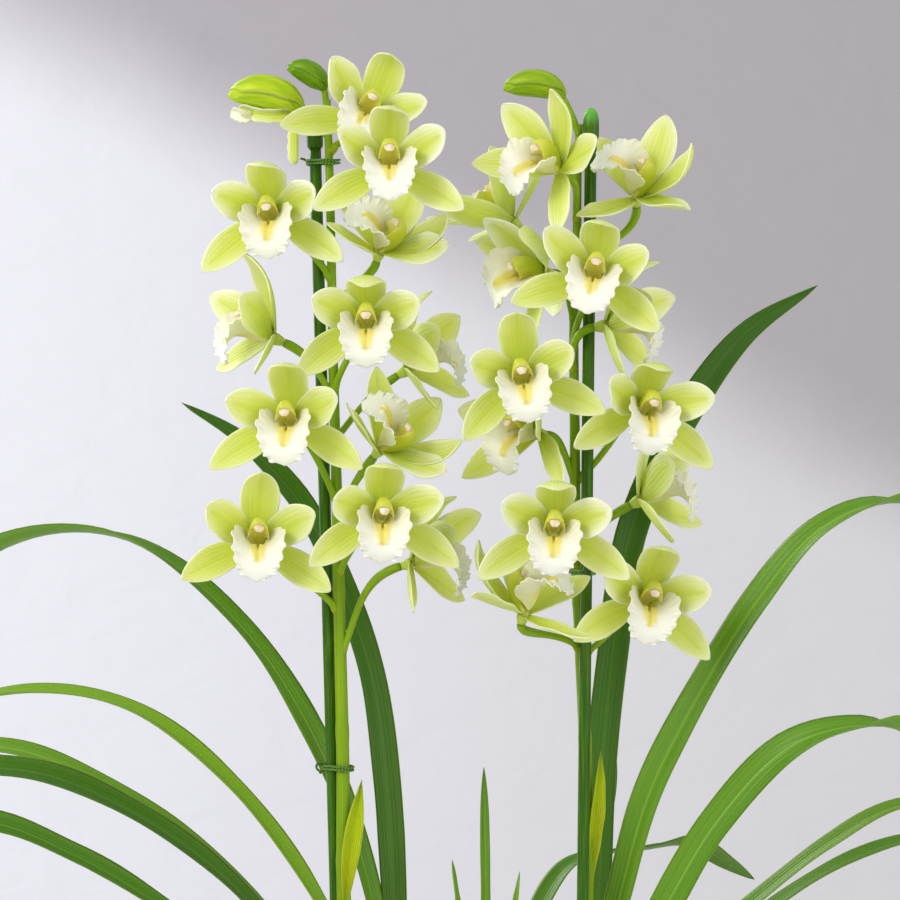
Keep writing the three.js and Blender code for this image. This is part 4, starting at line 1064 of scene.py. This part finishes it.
# The cap's heights over its foot, and its radii as shares.
CAP_OUTLINE = (
    [0, 0.3, 1.2, 3, 6, 9.5, 12.3, 14.2, 15.4, 16.0], [0.78, 0.9, 0.97, 1, 1, 0.98, 0.88, 0.66, 0.4, 0.08],
)
STAKE_SKIN, TIE_SKIN = stake_look(), tie_look()


def stake_line(stake):
    return np.array([*stake["bottom"], STAKE_FOOT], float), np.array(stake["top"], float)


def stake_piece(name, stake):
    shape = Shape()
    low, high = stake_line(stake)
    length = np.linalg.norm(high - low)
    far = np.r_[0, 1.2, np.linspace(6, length - CAP_HEIGHT, STAKE_ROWS)]
    knuckles = sum(0.035 * hump(far, at, 1.6) for at in range(KNUCKLES[0], int(length) - 30, KNUCKLES[1]))
    radii = STAKE_RADIUS * np.r_[0.7, 1, np.ones(STAKE_ROWS)] * (1 + knuckles)
    way = unit(high - low)
    tube(shape, low + way * far[:, None], radii, STAKE_SIDES)
    cap, size = (np.array(column) for column in CAP_OUTLINE)
    share = np.r_[np.repeat(cap / CAP_HEIGHT, STAKE_SIDES), 0, 1]
    tube(shape, low + way * (length - CAP_HEIGHT + cap)[:, None], size * CAP_RADIUS, STAKE_SIDES, cap=share)
    shape.build(f"cane_{name[6:]}", [name], [STAKE_SKIN])


WIRE, TAIL_WIRE = 0.62, 0.6  # radii
LOOP_LIFT, LOOP_WAVE = 0.75, 0.25
STAKE_ROOM, STEM_ROOM = 1.25, 0.95  # from each surface to the middle of the wire
KNOT = ((1.5, 0, 0), (0, 1.3, 0), (0, 0, 1.7))  # half-axes


def tie_piece(name, stake, path, height, tails, eye=False):
    """Two turns of coated wire round the stake and the stem, and its twisted ends."""
    shape = Shape()
    low, high = stake_line(stake)
    a = low + (high - low) * (height - low[2]) / (high[2] - low[2])
    b = at_height(path, height)
    axis = unit((b - a) * np.array([1, 1, 0]))
    across = np.array([-axis[1], axis[0], 0])
    ra, rb = STAKE_RADIUS + STAKE_ROOM, STEM_FOOT + STEM_ROOM
    turn = circle(72)
    c, s = np.cos(turn), np.sin(turn)
    for lift, more in ((-LOOP_LIFT, 0.0), (LOOP_LIFT, 0.1)):
        radius = np.where(c < 0, ra, rb) + more
        centre = np.where((c < 0)[:, None], a, b)
        loop = centre + axis * (radius * c)[:, None] + across * (radius * s)[:, None]
        loop[:, 2] = height + lift + LOOP_WAVE * np.sin(turn * 2 + height)
        tube(shape, evenly(np.vstack([loop, loop[:2]]), 110), WIRE, 10)
    start = a - axis * (ra + 0.4)
    start[2] = height
    egg(shape, start, KNOT, rows=10, sides=14)
    if eye:
        eyelet = start + np.stack([-2.4 + 2.2 * c, -2.6 + 0 * turn, 0.4 + 2.2 * s], 1)
        tube(shape, evenly(np.vstack([eyelet, eyelet[:2]]), 60), TAIL_WIRE, 9)
    for tail in tails:
        tip = start + np.array(tail, float)
        bend = (start + tip) / 2 + np.array([0.4, -0.8, 0.9])
        tube(shape, bezier([start, bend, tip], 14), TAIL_WIRE, 9)
    shape.build(f"wire_{name[4:]}", [name], [TIE_SKIN])


stake_piece("stake_left", STAKE_LEFT)
stake_piece("stake_right", STAKE_RIGHT)
tie_piece("tie_left_low", STAKE_LEFT, SPIKE_LEFT, 306, [(-4, -3, 2), (-3, -3, -3)], eye=True)
tie_piece("tie_left_high", STAKE_LEFT, SPIKE_LEFT, 609, [(-4, -2, 2)])
tie_piece(
    "tie_right", STAKE_RIGHT, SPIKE_RIGHT, 404, [(-4, -3, 2), (-3, -3, -4), (-4.6, -2.4, -1), (-2, -3.4, 3.6)]
)

# ---- Pot and bark ----

POT_OUTLINE = [
    (0.01, 0), (40, 0), (64, 0), (66, 2), (70, 24), (81, 84), (91.4, 142), (92, 146), (95.4, 147.2),
    (95.8, 150), (96, 160), (94.4, 162), (90.7, 162), (89.5, 160.4), (84, 130), (62.1, 7), (58, 7), (0.01, 7),
]
POT_SIDES, CORNER = 128, 1.2
DRAIN_COUNT, DRAIN_RADIUS, DRAIN_RING, DRILL_LENGTH = 4, 5, 40, 40
BARK_TOP, BARK_SIDES = 150, 96
FILL_OUTLINE = [(0.01, 7.4), (58, 7.4), (61.6, 7.6), (83.2, 132), (85.5, 143), (60, 146), (0.01, 147)]
CHIP_COUNT, CHIP_REACH, CHIP_ROOM = 300, 80, 88.5
CHIP_LENGTH, CHIP_WIDTH, CHIP_HEIGHT, CHIP_LEVEL = (12, 24), (8, 15), (4, 7.5), (-1.5, 2.4)  # least and most
CHIP_ROUGHNESS, CHIP_TILT, CHIP_BOXY = 0.16, 0.35, 0.62


def lathe(outline, sides):
    turn = circle(sides)
    r, z = np.array(outline, float).T
    return np.stack([r[:, None] * np.cos(turn), r[:, None] * np.sin(turn), z[:, None] + 0 * turn[None, :]], -1)


def rounded(outline, passes=2):
    """Corners cut twice over, which rounds them and leaves long straight runs straight."""
    p = np.array(outline, float)
    for _ in range(passes):
        near = np.minimum(CORNER, np.linalg.norm(np.diff(p, axis=0), axis=1) * 0.25)[:, None]
        way = unit(np.diff(p, axis=0))
        inner = np.stack([p[:-1] + way * near, p[1:] - way * near], 1).reshape(-1, 2)
        p = np.vstack([p[:1], inner[1:-1], p[-1:]])
    return p


def pot_piece():
    shape = Shape()
    close_off(shape, lathe(rounded(POT_OUTLINE), POT_SIDES))
    pot = shape.build("planter", ["pot"], [pot_look()])
    drills = []
    for i in range(DRAIN_COUNT):
        turn = 2 * math.pi * i / DRAIN_COUNT
        at = (DRAIN_RING * math.cos(turn) * MM, DRAIN_RING * math.sin(turn) * MM, 0)
        size = dict(radius=DRAIN_RADIUS * MM, depth=DRILL_LENGTH * MM)
        bpy.ops.mesh.primitive_cylinder_add(vertices=32, location=at, **size)
        drill = bpy.context.active_object
        cut = pot.modifiers.new("drain", "BOOLEAN")
        cut.operation, cut.object, cut.solver = "DIFFERENCE", drill, "EXACT"
        drills.append(drill)
    bpy.context.view_layer.update()
    carved = bpy.data.meshes.new_from_object(pot.evaluated_get(bpy.context.evaluated_depsgraph_get()))
    pot.modifiers.clear()
    pot.data = carved
    for drill in drills:
        bpy.data.objects.remove(drill)


def chip(shape, at, size, tone):
    """One irregular flake of bark."""
    lat, turn = np.linspace(0.25, np.pi - 0.25, 6)[:, None], circle(9)
    p = np.stack([np.sin(lat) * np.cos(turn), np.sin(lat) * np.sin(turn), np.cos(lat) + 0 * turn], -1)
    p = np.sign(p) * np.abs(p) ** CHIP_BOXY
    p = p * (1 + CHIP_ROUGHNESS * rng.standard_normal(p.shape)) * np.array(size) / 2
    tilt, roll, yaw = rng.normal(0, CHIP_TILT), rng.normal(0, CHIP_TILT), rng.uniform(0, TURN)
    for angle, (i, j) in ((tilt, (1, 2)), (roll, (0, 2)), (yaw, (0, 1))):
        c, s = math.cos(angle), math.sin(angle)
        a, b = p[..., i].copy(), p[..., j].copy()
        p[..., i], p[..., j] = a * c - b * s, a * s + b * c
    close_off(shape, p + np.array(at), tone=tone)


def bark_piece():
    shape = Shape()
    close_off(shape, lathe(FILL_OUTLINE, BARK_SIDES), tone=-0.6)
    golden = math.pi * (3 - math.sqrt(5))
    for i in range(CHIP_COUNT):
        r = CHIP_REACH * math.sqrt((i + 0.5) / CHIP_COUNT)
        turn = i * golden + 0.3 * rng.standard_normal()
        size = [rng.uniform(*limits) for limits in (CHIP_LENGTH, CHIP_WIDTH, CHIP_HEIGHT)]
        room = min(1.0, (CHIP_ROOM - r) / (size[0] / 2 + 1.5))
        level = BARK_TOP - 2.2 + rng.uniform(*CHIP_LEVEL) - 3.5 * (r / CHIP_REACH) ** 3
        at = r * math.cos(turn), r * math.sin(turn), level
        chip(shape, at, [v * room for v in size], rng.uniform(-1, 1))
    shape.build("bark_chips", ["potting_bark"], [bark_look()])


pot_piece()
bark_piece()

# ---- Room, light and camera, in metres ----

WALL_Y = 5.7
SHADE_SLOPE, SHADE_HEIGHT = 0.533, 0.87  # the shadow's edge: slope * x + z = height, in metres


def plane(name, corners, material):
    mesh = bpy.data.meshes.new(name)
    mesh.from_pydata(corners, [], [(0, 1, 2, 3)])
    mesh.materials.append(material)
    made = bpy.data.objects.new(name, mesh)
    bpy.context.scene.collection.objects.link(made)


def wall_look():
    """Pale plaster, with the soft edge of a painted shadow across its upper right, and painted light that dims
    from left to right.
    """
    look = Look("wall", 0.9, gloss=0.2)
    node = look.wired("ShaderNodeSeparateXYZ", look.where()).socket.node
    x, z = Value(look, node.outputs[0]), Value(look, node.outputs[2])
    edge = x * SHADE_SLOPE + (z + look.noise(1.4, 3.0) * 0.16)
    # lit places the painted shadow's soft edge, and right dims the painted light towards the right.
    lit, right = edge.ease(SHADE_HEIGHT + 0.2, SHADE_HEIGHT - 0.14), x.ease(-0.75, 0.7)
    bright = look.mix(right, (225, 224, 230), (217, 215, 217))
    dark = look.mix(right, (176, 170, 176), (178, 173, 175))
    look.colour(look.mix(lit, dark, bright))
    trowel = look.noise(7.0, 3.0, stretch=(1.0, 1.0, 1.7))
    trowel.socket.node.inputs["Distortion"].default_value = 0.5
    look.bump(trowel, 0.014, 0.4)
    return look.material


def floor_look():
    look = Look("floor", 0.8)
    look.colour(look.mix(look.noise(3.0, 3.0).ease(0.3, 0.7), (226, 224, 222), (232, 230, 228)))
    return look.material


plane("backdrop", [(-9, WALL_Y, -4), (9, WALL_Y, -4), (9, WALL_Y, 7), (-9, WALL_Y, 7)], wall_look())
plane("floor", [(-4, -5, 0), (4, -5, 0), (4, 1.3, 0), (-4, 1.3, 0)], floor_look())


def lamp(name, at, towards, size, watts, colour=(1, 1, 1)):
    data = bpy.data.lights.new(name, "AREA")
    data.energy, data.size, data.color = watts, size, colour
    made = bpy.data.objects.new(name, data)
    made.location = at
    way = np.array(towards, float) - np.array(at, float)
    yaw = math.atan2(way[1], way[0])
    pitch = math.atan2(way[2], math.hypot(way[0], way[1]))
    made.rotation_euler = (math.pi / 2 + pitch, 0, yaw - math.pi / 2)
    bpy.context.scene.collection.objects.link(made)


MIDDLE = (0, 0, 0.45)
CAMERA_AT = (-0.0045, -2.2, 0.465)
LENS, SENSOR = 176, 36  # in millimetres
lamp("key", (-1.6, -1.7, 1.6), MIDDLE, 1.2, 34, (1.0, 0.99, 0.97))
lamp("fill", (1.8, -1.8, 0.7), MIDDLE, 1.8, 16, (0.98, 0.99, 1.0))
lamp("back", (-1.3, 1.4, 1.5), MIDDLE, 1.0, 22, (1.0, 0.99, 0.96))
lamp("wall_glow", (-3.4, 3.2, 1.0), (0.2, WALL_Y, 0.4), 1.6, 70, (1, 1, 1))

world = bpy.data.worlds.new("room")
bpy.context.scene.world = world
world.use_nodes = True
sky = world.node_tree.nodes["Background"].inputs
sky["Color"].default_value = (0.93, 0.94, 0.96, 1)
sky["Strength"].default_value = 0.8
bpy.context.scene.view_settings.view_transform = "Standard"

camera = bpy.data.cameras.new("camera")
camera.lens, camera.sensor_width = LENS, SENSOR
viewer = bpy.data.objects.new("camera", camera)
viewer.location = CAMERA_AT
viewer.rotation_euler = (math.pi / 2, 0, 0)
bpy.context.scene.collection.objects.link(viewer)
bpy.context.scene.camera = viewer

bpy.context.view_layer.update()
